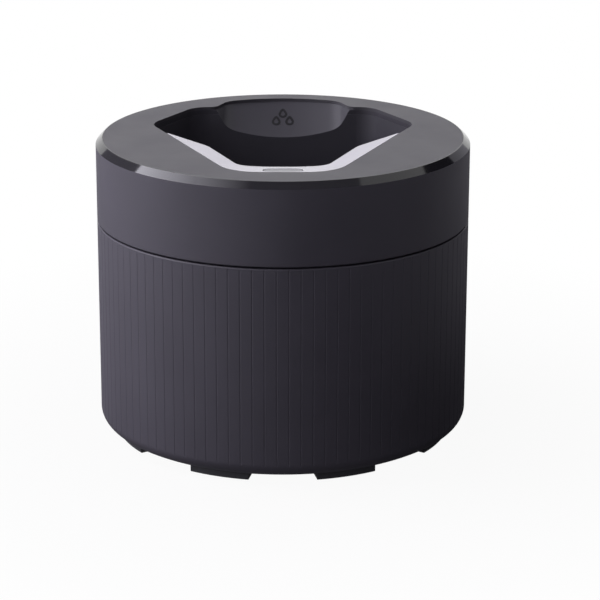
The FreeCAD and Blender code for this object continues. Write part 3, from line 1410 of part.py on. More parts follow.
def pump_intake():
    """The bell's bottom plate: a round inlet crossed by two bars."""
    top = BELL_BOTTOM + INTAKE_THICKNESS
    plate = ring(BELL_RADIUS - BELL_WALL - SNUG, INTAKE_RADIUS, BELL_BOTTOM, top, PUMP)
    reach = INTAKE_RADIUS + INTAKE_BAR
    bar = block(-reach, reach, -INTAKE_BAR / 2, INTAKE_BAR / 2, BELL_BOTTOM, top)
    bar.translate(PUMP)
    return fused([plate, bar, turned(bar, 90, PUMP)])


# ================================================================ supply hose and leads
def supply_hose():
    start = hose_run()[0]
    inlet = inlet_point()
    end = V(inlet.x, inlet.y, inlet_spigot_tip() + HOSE_OVERLAP)
    path = route([start, V(inlet.x, inlet.y, start.z), end], HOSE_BEND)
    return swept(path, HOSE_RADIUS).cut(swept(path, HOSE_BORE))


def hose_clamps():
    """Two spring bands, one on each end of the hose."""
    start, towards, reach = hose_run()
    inlet = inlet_point()
    margin = (HOSE_OVERLAP - CLAMP_WIDTH) / 2
    low = start + towards * margin
    high = V(inlet.x, inlet.y, inlet_spigot_tip() + margin)
    clamps = []
    for start, along in ((low, towards), (high, UP)):
        band = Part.makeCylinder(HOSE_RADIUS + SNUG + CLAMP_WALL, CLAMP_WIDTH, start, along)
        band = band.cut(Part.makeCylinder(HOSE_RADIUS + SNUG, CLAMP_WIDTH, start, along))
        clamps.append(band)
    return clamps


def battery_leads():
    """Two leads from the board down to the tabs on the battery contacts."""
    under = board_top() - BOARD_THICKNESS
    tab_x = cell_half_room() - CONTACT_THICKNESS / 2
    front_y = BOARD_Y - LEAD_FORWARD
    loop = contact_tab_top() + LEAD_LOOP
    leads = []
    for x, y in zip(LEAD_X, cell_rows()):
        points = [
            V(x, front_y, under),
            V(x, front_y, (under + loop) / 2),
            V((x + tab_x) / 2, (front_y + y) / 2, loop),
            V(tab_x, y, loop - LEAD_RADIUS),
            V(tab_x, y, contact_tab_top()),
        ]
        leads.append(swept(route(points), LEAD_RADIUS))
    return leads


def motor_leads():
    """Two leads from the board, round the left of the well, to the motor's terminals."""
    under = board_top() - BOARD_THICKNESS
    front_y = BOARD_Y - LEAD_FORWARD
    half = TERMINAL_SPACING / 2
    tab_x = terminal_edge() - TERMINAL_SIZE[0] + LEAD_RADIUS
    leads = []
    for i, x in enumerate(LEAD_X):
        level = WELL_UNDER - LEAD_BELOW_WELL - i * LEAD_STEP
        points = [V(-x, front_y, under), V(-x, front_y, (under + level) / 2)]
        for inset, bearing in zip(LEAD_IN_FROM_RADIUS, LEAD_BEARINGS):
            points.append(polar(BODY_RADIUS - inset, bearing, level))
        points.append(V(tab_x - LEAD_APPROACH, PUMP_Y + half, level))
        tab_y = PUMP_Y + (-half if i else half)
        points += [V(tab_x, tab_y, level), V(tab_x, tab_y, MOTOR_TOP)]
        leads.append(swept(route(points), LEAD_RADIUS))
    return leads


# ================================================================ every node
def main():
    os.makedirs("parts", exist_ok=True)
    nodes = {
        "container": container(),
        "rubber_feet": [foot(0.0, bearing) for bearing in foot_bearings()],
        "cartridge_body": cartridge_body(),
        "cartridge_lid": cartridge_lid(),
        "filter_basket": filter_basket(),
        "filter_foam": filter_foam(),
        "top_cover": top_cover(),
        "deck_plate": deck_plate(),
        "lip_trim": lip_trim(),
        "basin": basin(),
        "basin_gasket": basin_gasket(),
        "start_button": start_button(),
        "button_spring": button_spring(),
        "button_clip": button_clip(),
        "control_board": control_board(),
        "tact_switch": tact_switch(),
        "switch_plunger": switch_plunger(),
        "board_chips": board_chips(),
        "board_screws": board_screws(),
        "chassis": chassis(),
        "chassis_screws": chassis_screws(),
        "seam_seal": seam_seal(),
        "drain_seal": drain_seal(),
        "battery_cells": battery_cells(),
        "battery_contacts": battery_contacts(),
        "battery_springs": battery_springs(),
        "battery_cover": battery_cover(),
        "battery_cover_seal": battery_cover_seal(),
        "battery_cover_screws": battery_cover_screws(),
        "motor_case": motor_case(),
        "motor_end_cap": motor_end_cap(),
        "motor_terminals": motor_terminals(),
        "motor_magnet": motor_magnet(),
        "motor_armature": motor_armature(),
        "motor_shaft": motor_shaft(),
        "pump_head": pump_head(),
        "pump_screws": pump_screws(),
        "pump_housing": pump_housing(),
        "shaft_seal": shaft_seal(),
        "shaft_coupling": shaft_coupling(),
        "pump_shaft": pump_shaft(),
        "pump_bush": pump_bush(),
        "impeller": impeller(),
        "pump_intake": pump_intake(),
        "supply_hose": supply_hose(),
        "hose_clamps": hose_clamps(),
        "battery_leads": battery_leads(),
        "motor_leads": motor_leads(),
    }
    for node, solids in nodes.items():
        save(node, solids)


main()
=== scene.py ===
"""Finishes, symbol and stage for a shaver cleaning station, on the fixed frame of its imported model."""

import math

import bmesh
import bpy
from mathutils import Matrix, Vector


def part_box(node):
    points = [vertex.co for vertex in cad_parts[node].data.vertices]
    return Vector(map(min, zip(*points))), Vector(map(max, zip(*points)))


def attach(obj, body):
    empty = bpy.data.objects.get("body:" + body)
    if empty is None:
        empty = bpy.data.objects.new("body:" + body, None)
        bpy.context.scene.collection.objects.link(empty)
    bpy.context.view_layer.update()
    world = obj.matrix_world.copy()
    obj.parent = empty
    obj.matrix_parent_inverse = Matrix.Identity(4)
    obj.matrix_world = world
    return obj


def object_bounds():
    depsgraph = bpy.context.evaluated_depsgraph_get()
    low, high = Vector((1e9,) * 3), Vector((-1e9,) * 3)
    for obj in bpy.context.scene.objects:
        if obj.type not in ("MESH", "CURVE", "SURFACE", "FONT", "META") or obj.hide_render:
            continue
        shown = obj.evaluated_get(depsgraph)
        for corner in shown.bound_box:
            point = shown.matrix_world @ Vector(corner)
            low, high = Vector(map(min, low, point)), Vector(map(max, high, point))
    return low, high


bl_info = {
    "name": "Shaver cleaning station",
    "version": (1, 0, 0),
    "blender": (4, 5, 0),
    "location": "View3D > Sidebar > Cleaning station",
    "description": "Dresses the packed model of a shaver cleaning station and sets its stage",
    "category": "Object",
}

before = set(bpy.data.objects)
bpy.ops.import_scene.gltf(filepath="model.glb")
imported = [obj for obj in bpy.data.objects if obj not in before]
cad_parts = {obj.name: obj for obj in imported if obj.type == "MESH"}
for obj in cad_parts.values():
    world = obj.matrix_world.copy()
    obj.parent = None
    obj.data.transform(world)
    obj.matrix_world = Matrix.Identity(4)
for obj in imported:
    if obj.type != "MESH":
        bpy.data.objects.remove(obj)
CAD_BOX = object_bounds()

PREFIX = "station."
MM = 0.001
WHITE = (1.0, 1.0, 1.0, 1.0)

# A square frame, with the optical axis a little to the right of the object.
SENSOR = 0.036
FOCAL_LENGTH = 149.1
CAMERA_PLACE = (0.0, -0.7240, 0.2699)
CAMERA_PITCH = 17.68
CAMERA_SHIFT = 0.0285

# The pocket's slope comes SLOPE_RUN forward for 1 down, from its upper edge at the back of the deck plate. It
# is bowed across the pocket with SLOPE_RADIUS.
SLOPE_RUN = 1.45
SLOPE_TOP = (0.0, 48.3 * MM, 90.0 * MM)
SLOPE_ANGLE = math.atan2(1.0, SLOPE_RUN)
SLOPE_RADIUS = 40 * MM

# The symbol lies this far below the slope's upper edge. Its lower drops stand a share of a drop's width to
# each side, and every drop a share of its height above or below the middle.
SYMBOL_DEPTH = 3.75 * MM
DROP_SPREAD = 0.73
DROP_STACK = 0.41
DROP_SIDES = 40
TIP_PINCH = 0.35
WELD = 0.001 * MM

# Moulded surfaces: millimetres across a cloud in the tone, the part of the noise that the clouds use, and how
# far the roughness follows them.
CLOUD_SIZE = 18
CLOUD_LOW = 0.3
CLOUD_HIGH = 0.7
GLOSS_SPREAD = 0.08

# The polished bevel round the deck: its height, roughness, tone and level relief.
BEVEL_HEIGHT = 1.9 * MM
POLISHED_ROUGHNESS = 0.07
POLISHED_TONE = 0.25
POLISHED_RELIEF = 0.5

# A face is a cut edge where its normal rises less than the lower value, and a top face above the upper one.
# Cut edges get painted shade, which fades out towards the top faces.
CUT_FACE_RISE = 0.4
TOP_FACE_RISE = 0.8

# How far the roughness of a metal varies from line to line.
LINE_SPREAD = 0.3

# Pores of the foam: their size and relief in millimetres, the shares of a cell where the painted shade inside
# a pore ends and the pale wall starts, and the tone of that painted shade.
PORE_SIZE = 1.1
PORE_RELIEF = 0.6
PORE_SHADE_END = 0.1
PORE_PALE_START = 0.6
PORE_SHADE_TONE = 0.35

# Tracks of the board: the size of their pattern in millimetres, where a track starts in it, and the relief.
TRACK_SIZE = 2.2
TRACK_START = 0.62
TRACK_RELIEF = 0.03

# The floor fades to plain white between these distances from the middle of the station.
FADE_START = 60 * MM
FADE_END = 200 * MM

# Roller marks in the floor paint, in millimetres.
ROLLER_SIZE = 6
ROLLER_RELIEF = 0.1

# The camera shows what is between these distances.
CLIP_START = 0.01
CLIP_END = 100.0

# Each lamp is a glowing card that the camera doesn't see, in metres: its name, its width and height, its
# middle above the floor and the way it faces. Then the axis that its brightness changes along, the stretch of
# that axis, the stage value that it follows, and its share of that value at each end of the stretch.
LAMPS = (
    # A tall softbox at the left, brightest at mid height, and a ceiling that is bright only above it.
    ("softbox_lower", (0.46, 0.5), (-0.55, 0.031, 0.25), (1, 0, 0), "Z", (0.0, 0.5), "softbox", (0.3, 0.95)),
    ("softbox_upper", (0.46, 0.7), (-0.55, 0.031, 0.85), (1, 0, 0), "Z", (0.5, 1.2), "softbox", (1.25, 0.15)),
    ("ceiling", (1.04, 1.3), (-0.03, -0.15, 0.95), (0, 0, -1), "X", (-0.55, -0.2), "ceiling", (12.5, 1.0)),
    # Cards behind the station, which the sides of the bevel reflect.
    ("rear_left_card", (0.45, 0.9), (-0.52, 0.4, 0.45), (1, -0.3, 0), "Y", (0.3, 0.5), "rear", (0.7, 0.44)),
    ("rear_right_card", (0.45, 0.9), (0.52, 0.62, 0.45), (-1, -0.3, 0), "Y", (0.3, 0.5), "rear", (1.0, 1.0)),
    # Dim cards hold back the white room in front, at the right and on the floor.
    ("front_card", (1.0, 0.9), (0.0, -0.5, 0.45), (0, 1, 0), "X", (-0.5, 0.0), "fill", (11.5, 0.4)),
    ("right_card", (0.9, 0.455), (0.45, -0.05, 0.2275), (-1, 0, 0), "Z", (0.2, 0.34), "fill", (1.0, 0.125)),
    ("lit_floor_card", (0.57, 0.9), (-0.165, 0, 0.0003), (0, 0, 1), "X", (-0.3, 0.08), "fill", (3.1, 0.0)),
    ("shaded_floor_card", (0.33, 0.9), (0.285, 0, 0.0003), (0, 0, 1), "X", (0.12, 0.28), "fill", (0.0, 3.4)),
)


def linear(hexa):
    """A linear colour with full cover, from an sRGB hex value."""
    shares = [int(hexa[i : i + 2], 16) / 255 for i in (1, 3, 5)]
    return (*(s / 12.92 if s <= 0.04045 else ((s + 0.055) / 1.055) ** 2.4 for s in shares), 1.0)


# The lamps' light is faintly violet.
LAMP_TINT = linear("#f6f4ff")


def per(millimetres):
    """The texture scale that gives a pattern this size on coordinates in metres."""
    return 1.0 / (millimetres * MM)


def colour(name, description, hexa):
    return bpy.props.FloatVectorProperty(
        name=name,
        description=description,
        subtype="COLOR",
        size=4,
        min=0.0,
        max=1.0,
        default=linear(hexa),
    )


def length(name, description, millimetres):
    return bpy.props.FloatProperty(
        name=name,
        description=description,
        subtype="DISTANCE",
        unit="LENGTH",
        min=0.0,
        default=millimetres * MM,
    )


def share(name, description, default):
    return bpy.props.FloatProperty(
        name=name, description=description, subtype="FACTOR", min=0.0, max=1.0, default=default
    )


def strength(name, description, default):
    return bpy.props.FloatProperty(
        name=name, description=description, min=0.0, soft_max=10.0, default=default
    )


class StationColours(bpy.types.PropertyGroup):
    """Colours of the station's pieces."""

    band: colour("Upper band", "Spark-textured side of the upper band", "#49464f")
    deck: colour("Deck", "Matte plate on top", "#4c4a50")
    lip: colour("Lip", "Pale trim round the front of the opening", "#b9b4c2")
    basin: colour("Basin", "Inside of the well and the pocket", "#3a383f")
    key: colour("Start key", "Pill-shaped key in the lip", "#8f8d93")
    container: colour("Container", "Fluted lower half", "#4a4750")
    symbol: colour("Symbol", "Ink of the three drops", "#131216")
    chassis: colour("Chassis", "Black frame under the upper half", "#222224")
    cover: colour("Battery cover", "Cover of the battery bay", "#2a2a2c")
    seal: colour("Seals", "Black silicone seals", "#303034")
    foot: colour("Feet", "Dark grey rubber feet", "#4c4c4f")
    board: colour("Board", "Solder mask of the control board", "#1f6b3d")
    track: colour("Board tracks", "Copper under the solder mask", "#3c8a55")
    chip: colour("Chips", "Moulded epoxy of the chips", "#232325")
    switch: colour("Switch", "Nylon body of the tact switch", "#2c2c2e")
    sleeve: colour("Cell sleeve", "Plain film round the battery cells", "#4f7196")
    cap: colour("Motor cap", "White nylon end cap", "#e3e2dc")
    magnet: colour("Magnet", "Bonded ferrite", "#46464a")
    pump: colour("Pump", "White acetal of the pump", "#dedcd6")
    hose: colour("Hose", "Milky silicone of the supply hose", "#d3d8da")
    red_lead: colour("Red leads", "PVC insulation of the battery leads", "#b32a25")
    black_lead: colour("Black leads", "PVC insulation of the motor leads", "#262628")
    cartridge: colour("Cartridge", "Grey polypropylene tub", "#b9c0c4")
    lid: colour("Cartridge lid", "Grey polypropylene lid", "#c4c8ca")
    filter: colour("Filter basket", "White polypropylene basket", "#e4e4e2")
    foam: colour("Filter foam", "Open-cell foam", "#7d868a")
    steel: colour("Steel", "Springs and screws", "#c9c9cb")
    nickel: colour("Nickel", "Contacts and motor can", "#d6d2c8")
    lamination: colour("Laminations", "Stacked steel of the armature", "#9c9894")


class StationSizes(bpy.types.PropertyGroup):
    """Sizes of the new pieces."""

    drop_height: length("Drop height", "Height of one drop of the symbol", 3.9)
    drop_width: length("Drop width", "Width of one drop of the symbol", 2.9)
    drop_stroke: length("Stroke", "Width of the drop's outline", 0.8)
    drop_rise: length("Rise", "How far the ink stands off the slope", 0.06)
    drop_sink: length("Sink", "How deep the outline starts under the slope", 0.2)


class StationStage(bpy.types.PropertyGroup):
    """The stage round the station."""

    floor_width: length("Floor width", "Side of the square floor", 6000)
    floor: colour("Floor", "Paint of the floor", "#ececec")
    whiteness: share("Whiteness", "How far the floor near the station is seen as plain white", 0.94)
    surroundings: strength("Surroundings", "Strength of the surrounding light", 0.15)
    softbox: strength("Softbox", "Brightness of the softbox at the left", 5.8)
    ceiling: strength("Ceiling", "Brightness of the ceiling over the station", 0.28)
    rear: strength("Rear cards", "Brightness of the cards behind the station", 0.5)
    fill: strength("Fill", "Brightness of the dim cards in front, at the right and on the floor", 0.16)


def add(tree, kind, inputs=None, **settings):
    """Adds one node with its settings, and sets or links its inputs."""
    made = tree.nodes.new(kind)
    for name, value in settings.items():
        setattr(made, name, value)
    for key, value in (inputs or {}).items():
        socket = made.inputs[key]
        if isinstance(value, bpy.types.NodeSocket):
            tree.links.new(value, socket)
        else:
            socket.default_value = value
    return made


def blank(name):
    """An empty node material with that name."""
    material = bpy.data.materials.new(name)
    material.use_nodes = True
    material.node_tree.nodes.clear()
    return material


def close(tree, shader):
    add(tree, "ShaderNodeOutputMaterial", {"Surface": shader.outputs[0]})


def moulded(
    name,
    paint,
    roughness,
    grain,
    relief,
    cloud=0.06,
    gloss=0.5,
    polished_above=None,
    cut_shade=None,
    **sockets,
):
    """A moulded plastic or rubber: an even tone with faint flow clouds, and the mould's grain as relief.

    The grain's width and its relief are in millimetres. Above polished_above it is polished and deeper. The
    cut-face tone darkens its upright cut faces with painted shade, as though they stood in the shade of a gap
    or ledge. Other values go to the shader's own sockets.
    """
    material = blank(name)
    tree = material.node_tree
    place = add(tree, "ShaderNodeTexCoord").outputs["Object"]
    clouds = add(
        tree,
        "ShaderNodeTexNoise",
        {"Vector": place, "Scale": per(CLOUD_SIZE), "Detail": 3.0, "Roughness": 0.6},
    )
    pits = add(
        tree,
        "ShaderNodeTexNoise",
        {"Vector": place, "Scale": per(grain), "Detail": 2.0, "Roughness": 0.5},
    )
    clouded = {"Value": clouds.outputs["Fac"], "From Min": CLOUD_LOW, "From Max": CLOUD_HIGH}
    level = add(
        tree, "ShaderNodeMapRange", {**clouded, "To Min": 1.0 - cloud, "To Max": 1.0 + cloud}
    ).outputs["Result"]
    rough = add(
        tree,
        "ShaderNodeMapRange",
        {
            **clouded,
            "To Min": roughness * (1.0 - GLOSS_SPREAD),
            "To Max": roughness * (1.0 + GLOSS_SPREAD),
        },
    ).outputs["Result"]
    height = pits.outputs["Fac"]
    if polished_above is not None:
        heights = add(tree, "ShaderNodeSeparateXYZ", {"Vector": place})
        polished = add(
            tree,
            "ShaderNodeMath",
            {0: heights.outputs["Z"], 1: polished_above},
            operation="GREATER_THAN",
        ).outputs[0]
        rough, height, level = (
            add(tree, "ShaderNodeMix", {"Factor": polished, "A": below, "B": above}).outputs["Result"]
            for below, above in (
                (rough, POLISHED_ROUGHNESS),
                (height, POLISHED_RELIEF),
                (level, POLISHED_TONE),
            )
        )
    # Painted shade: upright cut faces are darkened and stand in for the shade in gaps and under ledges.
    if cut_shade is not None:
        normal = add(tree, "ShaderNodeNewGeometry").outputs["Normal"]
        facing = add(tree, "ShaderNodeSeparateXYZ", {"Vector": normal})
        cut_face_shade = add(
            tree,
            "ShaderNodeMapRange",
            {
                "Value": facing.outputs["Z"],
                "From Min": CUT_FACE_RISE,
                "From Max": TOP_FACE_RISE,
                "To Min": cut_shade,
                "To Max": 1.0,
            },
        )
        level = add(
            tree, "ShaderNodeMath", {0: level, 1: cut_face_shade.outputs["Result"]}, operation="MULTIPLY"
        ).outputs[0]
    tone = add(tree, "ShaderNodeHueSaturation", {"Color": paint, "Value": level})
    bump = add(
        tree, "ShaderNodeBump", {"Height": height, "Strength": 1.0, "Distance": relief * MM}
    )
    shader = add(
        tree,
        "ShaderNodeBsdfPrincipled",
        {
            "Base Color": tone.outputs["Color"],
            "Roughness": rough,
            "Specular IOR Level": gloss,
            "Normal": bump.outputs["Normal"],
            **sockets,
        },
    )
    close(tree, shader)
    return material


def metal(name, paint, roughness, line, stretch, relief=0.004):
    """A bare or plated metal with drawing lines.

    A line is that many millimetres wide, times the stretch on each axis. The relief is in millimetres too.
    """
    material = blank(name)
    tree = material.node_tree
    place = add(tree, "ShaderNodeTexCoord").outputs["Object"]
    lines = add(
        tree,
        "ShaderNodeMapping",
        {"Vector": place, "Scale": [per(line) / s for s in stretch]},
    )
    drawn = add(
        tree, "ShaderNodeTexNoise", {"Vector": lines.outputs["Vector"], "Scale": 1.0, "Detail": 2.0}
    )
    rough = add(
        tree,
        "ShaderNodeMapRange",
        {
            "Value": drawn.outputs["Fac"],
            "To Min": roughness * (1.0 - LINE_SPREAD),
            "To Max": roughness * (1.0 + LINE_SPREAD),
        },
    )
    bump = add(
        tree, "ShaderNodeBump", {"Height": drawn.outputs["Fac"], "Strength": 1.0, "Distance": relief * MM}
    )
    shader = add(
        tree,
        "ShaderNodeBsdfPrincipled",
        {
            "Base Color": paint,
            "Metallic": 1.0,
            "Roughness": rough.outputs["Result"],
            "Normal": bump.outputs["Normal"],
        },
    )
    close(tree, shader)
    return material


def foam(name, paint):
    """An open-cell foam: round pores, with painted shade inside them."""
    material = blank(name)
    tree = material.node_tree
    place = add(tree, "ShaderNodeTexCoord").outputs["Object"]
    pores = add(tree, "ShaderNodeTexVoronoi", {"Vector": place, "Scale": per(PORE_SIZE)})
    # Painted shade: each pore darkens towards its middle.
    depth = add(
        tree,
        "ShaderNodeMapRange",
        {
            "Value": pores.outputs["Distance"],
            "From Min": PORE_SHADE_END,
            "From Max": PORE_PALE_START,
            "To Min": PORE_SHADE_TONE,
            "To Max": 1.0,
        },
    )
    tone = add(tree, "ShaderNodeHueSaturation", {"Color": paint, "Value": depth.outputs["Result"]})
    bump = add(
        tree,
        "ShaderNodeBump",
        {"Height": pores.outputs["Distance"], "Strength": 1.0, "Distance": PORE_RELIEF * MM},
    )
    shader = add(
        tree,
        "ShaderNodeBsdfPrincipled",
        {
            "Base Color": tone.outputs["Color"],
            "Roughness": 0.95,
            "Specular IOR Level": 0.2,
            "Normal": bump.outputs["Normal"],
        },
    )
    close(tree, shader)
    return material


def circuit(name, mask, track):
    """Solder mask over copper: tracks show as paler straight runs, raised a little."""
    material = blank(name)
    tree = material.node_tree
    place = add(tree, "ShaderNodeTexCoord").outputs["Object"]
    runs = add(
        tree,
        "ShaderNodeTexVoronoi",
        {"Vector": place, "Scale": per(TRACK_SIZE)},
        distance="CHEBYCHEV",
        feature="F2",
    )
    copper = add(
        tree,
        "ShaderNodeMath",
        {0: runs.outputs["Distance"], 1: TRACK_START},
        operation="GREATER_THAN",
    )
    tone = add(
        tree, "ShaderNodeMix", {0: copper.outputs[0], 6: mask, 7: track}, data_type="RGBA"
    )
    bump = add(
        tree,
        "ShaderNodeBump",
        {"Height": copper.outputs[0], "Strength": 1.0, "Distance": TRACK_RELIEF * MM},
    )
    shader = add(
        tree,
        "ShaderNodeBsdfPrincipled",
        {
            "Base Color": tone.outputs[2],
            "Roughness": 0.28,
            "Coat Weight": 0.4,
            "Coat Roughness": 0.12,
            "Normal": bump.outputs["Normal"],
        },
    )
    close(tree, shader)
    return material


def dress(material, *nodes):
    """Gives CAD nodes that material in every slot."""
    for name in nodes:
        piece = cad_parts[name]
        if not piece.material_slots:
            piece.data.materials.append(material)
        for held in piece.material_slots:
            held.material = material


class StationOperator:
    """What every operator of this file shares."""

    bl_options = {"REGISTER", "UNDO"}


class STATION_OT_housing(StationOperator, bpy.types.Operator):
    """Dresses the outer shells: the band, deck, lip, basin, key and container"""

    bl_idname = PREFIX + "housing"
    bl_label = "Housing"

    def execute(self, context):
        tints = context.scene.station_colours
        bevel_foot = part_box("top_cover")[1].z - BEVEL_HEIGHT
        # ABS from a spark-eroded mould: a soft even satin that shows no reflection,
        # with a polished bevel that does.
        band = moulded(
            "abs_spark_textured", tints.band, 0.56, 0.45, 0.012, gloss=0.5, polished_above=bevel_foot
        )
        dress(band, "top_cover")
        # Polycarbonate plate with a matte lacquer: flat grey with a soft sheen towards the light. Its cut
        # edge round the opening is darkened with painted shade.
        deck = moulded(
            "polycarbonate_matte_lacquer", tints.deck, 0.5, 0.4, 0.008, cloud=0.04, cut_shade=0.85
        )
        dress(deck, "deck_plate")
        # ABS with a pearl lacquer: pale, smooth and glossy, with painted shade on its upright cut walls round
        # the key and the opening.
        lip = moulded(
            "abs_pearl_lacquer", tints.lip, 0.16, 1.2, 0.002, cloud=0.03, cut_shade=0.3,
            **{"Coat Weight": 0.5, "Coat Roughness": 0.06},
        )
        dress(lip, "lip_trim")
        # ABS from a finely blasted mould: deep charcoal with a broad soft shine on its curves.
        dress(moulded("abs_fine_blasted", tints.basin, 0.5, 0.5, 0.006), "basin")
        # Painted key cap: greyer and duller than the lip round it, with painted shade on its upright side
        # walls in the gap.
        dress(
            moulded("abs_satin_paint", tints.key, 0.3, 0.8, 0.003, cloud=0.04, cut_shade=0.3),
            "start_button",
        )
        # ABS with moulded flutes: dark satin, with a thin shadow in each groove.
        dress(moulded("abs_satin_fluted", tints.container, 0.54, 0.5, 0.01), "container")
        return {"FINISHED"}


class STATION_OT_supports(StationOperator, bpy.types.Operator):
    """Dresses the chassis, covers, seals and feet"""

    bl_idname = PREFIX + "supports"
    bl_label = "Supports"

    def execute(self, context):
        tints = context.scene.station_colours
        # Glass-filled nylon: black, dull and slightly mottled by its fibres.
        dress(
            moulded("nylon_glass_filled", tints.chassis, 0.55, 0.7, 0.02, cloud=0.12),
            "chassis", "button_clip",
        )
        # ABS with a fine mould texture: black and even.
        dress(moulded("abs_fine_textured", tints.cover, 0.5, 0.6, 0.012), "battery_cover")
        # Silicone rubber: soft black without sharp reflections.
        dress(
            moulded("silicone_rubber_black", tints.seal, 0.62, 0.9, 0.01, gloss=0.4),
            "seam_seal", "drain_seal", "basin_gasket", "battery_cover_seal", "shaft_seal",
        )
        # Moulded rubber: dark grey and dull.
        dress(moulded("rubber_moulded", tints.foot, 0.75, 0.8, 0.02, gloss=0.35), "rubber_feet")
        return {"FINISHED"}


class STATION_OT_electrics(StationOperator, bpy.types.Operator):
    """Dresses the board, switch, cells, contacts and leads"""

    bl_idname = PREFIX + "electrics"
    bl_label = "Electrics"

    def execute(self, context):
        tints = context.scene.station_colours
        # Glass-epoxy board under solder mask: glossy green with paler tracks.
        dress(circuit("glass_epoxy_solder_mask", tints.board, tints.track), "control_board")
        # Transfer-moulded epoxy: charcoal with a fine matte grain.
        dress(moulded("epoxy_moulded", tints.chip, 0.6, 0.3, 0.01), "board_chips")
        # Moulded nylon: black, faintly waxy.
        dress(moulded("nylon_moulded", tints.switch, 0.45, 0.4, 0.005), "tact_switch", "switch_plunger")
        # Shrink film over a steel can: glossy with slow ripples.
        sleeve = moulded("pvc_shrink_film", tints.sleeve, 0.2, 4.0, 0.03, **{"Coat Weight": 0.6})
        dress(sleeve, "battery_cells")
        # Nickel-plated strip: warm bright metal with rolling lines.
        dress(metal("nickel_plated_strip", tints.nickel, 0.24, 0.2, (12, 1, 1)), "battery_contacts")
        # Flexible PVC: smooth and slightly shiny.
        dress(moulded("pvc_flexible_red", tints.red_lead, 0.35, 1.0, 0.004), "battery_leads")
        dress(moulded("pvc_flexible_black", tints.black_lead, 0.35, 1.0, 0.004), "motor_leads")
        return {"FINISHED"}


class STATION_OT_drive(StationOperator, bpy.types.Operator):
    """Dresses the motor, pump, hose, springs and screws"""

    bl_idname = PREFIX + "drive"
    bl_label = "Drive"

    def execute(self, context):
        tints = context.scene.station_colours
        # Drawn spring wire: bright grey with upright drawing lines.
        dress(
            metal("spring_steel_drawn", tints.steel, 0.26, 0.15, (1, 1, 6)),
            "button_spring", "battery_springs",
        )
        # Zinc-plated steel: paler, softly blurred reflections.
        dress(
            metal("steel_zinc_plated", tints.steel, 0.34, 0.3, (1, 1, 1)),
            "chassis_screws", "board_screws", "battery_cover_screws", "pump_screws", "hose_clamps",
        )
        # Deep-drawn steel can with nickel: vertical drawing lines.
        dress(
            metal("steel_nickel_plated", tints.nickel, 0.22, 0.25, (1, 1, 14)),
            "motor_case", "motor_shaft", "pump_shaft",
        )
        dress(metal("nickel_plated_tab", tints.nickel, 0.25, 0.2, (1, 1, 8)), "motor_terminals")
        # White nylon: milky with soft shine.
        milky = {"Subsurface Weight": 0.1, "Subsurface Radius": (0.002, 0.002, 0.002)}
        dress(moulded("nylon_white", tints.cap, 0.4, 0.6, 0.006, **milky), "motor_end_cap")
        # Bonded ferrite: dark grey, powdery and dull.
        dress(moulded("ferrite_bonded", tints.magnet, 0.7, 0.3, 0.02, cloud=0.15), "motor_magnet")
        # Stacked laminations: fine lines across the axis.
        dress(metal("steel_laminated", tints.lamination, 0.45, 0.5, (8, 8, 1), relief=0.05), "motor_armature")
        # Machined acetal: dense white with a waxy shine.
        dress(
            moulded("acetal_moulded", tints.pump, 0.32, 0.8, 0.004, cloud=0.03),
            "pump_head", "pump_housing", "shaft_coupling", "pump_bush", "impeller", "pump_intake",
        )
        # Translucent silicone: milky, light passes into it.
        clear = {
            "Subsurface Weight": 0.5,
            "Subsurface Radius": (0.003, 0.003, 0.003),
            "Transmission Weight": 0.15,
        }
        dress(moulded("silicone_milky", tints.hose, 0.38, 1.0, 0.005, **clear), "supply_hose")
        return {"FINISHED"}


class STATION_OT_cartridge(StationOperator, bpy.types.Operator):
    """Dresses the cartridge with its lid, basket and foam"""

    bl_idname = PREFIX + "cartridge"
    bl_label = "Cartridge"

    def execute(self, context):
        tints = context.scene.station_colours
        # Polypropylene: waxy, a little light goes into the wall.
        wax = {"Subsurface Weight": 0.25, "Subsurface Radius": (0.003, 0.003, 0.003)}
        dress(moulded("polypropylene_grey", tints.cartridge, 0.38, 0.8, 0.006, **wax), "cartridge_body")
        dress(moulded("polypropylene_lid", tints.lid, 0.42, 0.8, 0.006, **wax), "cartridge_lid")
        dress(moulded("polypropylene_white", tints.filter, 0.4, 0.8, 0.006, **wax), "filter_basket")
        # Open-cell polyurethane foam: pores with painted shade in their hollows.
        dress(foam("polyurethane_foam", tints.foam), "filter_foam")
        return {"FINISHED"}


def drop(height, width, stroke, depth):
    """A teardrop outline with its tip up, centred on the origin, from z = 0 to z = depth."""
    shape = bmesh.new()
    bmesh.ops.create_circle(shape, cap_ends=True, segments=DROP_SIDES, radius=1.0)
    round_part = width / 2
    for vert in shape.verts:
        if vert.co.y > 0:
            vert.co.x *= 1.0 - TIP_PINCH * vert.co.y
            vert.co.y *= (height - round_part) / round_part
    bmesh.ops.scale(shape, verts=shape.verts, vec=(round_part, round_part, 1.0))
    bmesh.ops.translate(shape, verts=shape.verts, vec=(0.0, round_part - height / 2, 0.0))
    filling = list(shape.faces)
    bmesh.ops.inset_individual(shape, faces=filling, thickness=stroke, use_even_offset=True)
    bmesh.ops.delete(shape, geom=filling, context="FACES")
    bmesh.ops.solidify(shape, geom=shape.faces[:], thickness=depth)
    lowest = min(vert.co.z for vert in shape.verts)
    bmesh.ops.translate(shape, verts=shape.verts, vec=(0.0, 0.0, -lowest))
    return shape


def finished(name, shape, body, material):
    """The mesh becomes a piece that rides on a body."""
    mesh = bpy.data.meshes.new(name)
    shape.to_mesh(mesh)
    shape.free()
    piece = bpy.data.objects.new(name, mesh)
    bpy.context.scene.collection.objects.link(piece)
    mesh.materials.append(material)
    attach(piece, body)


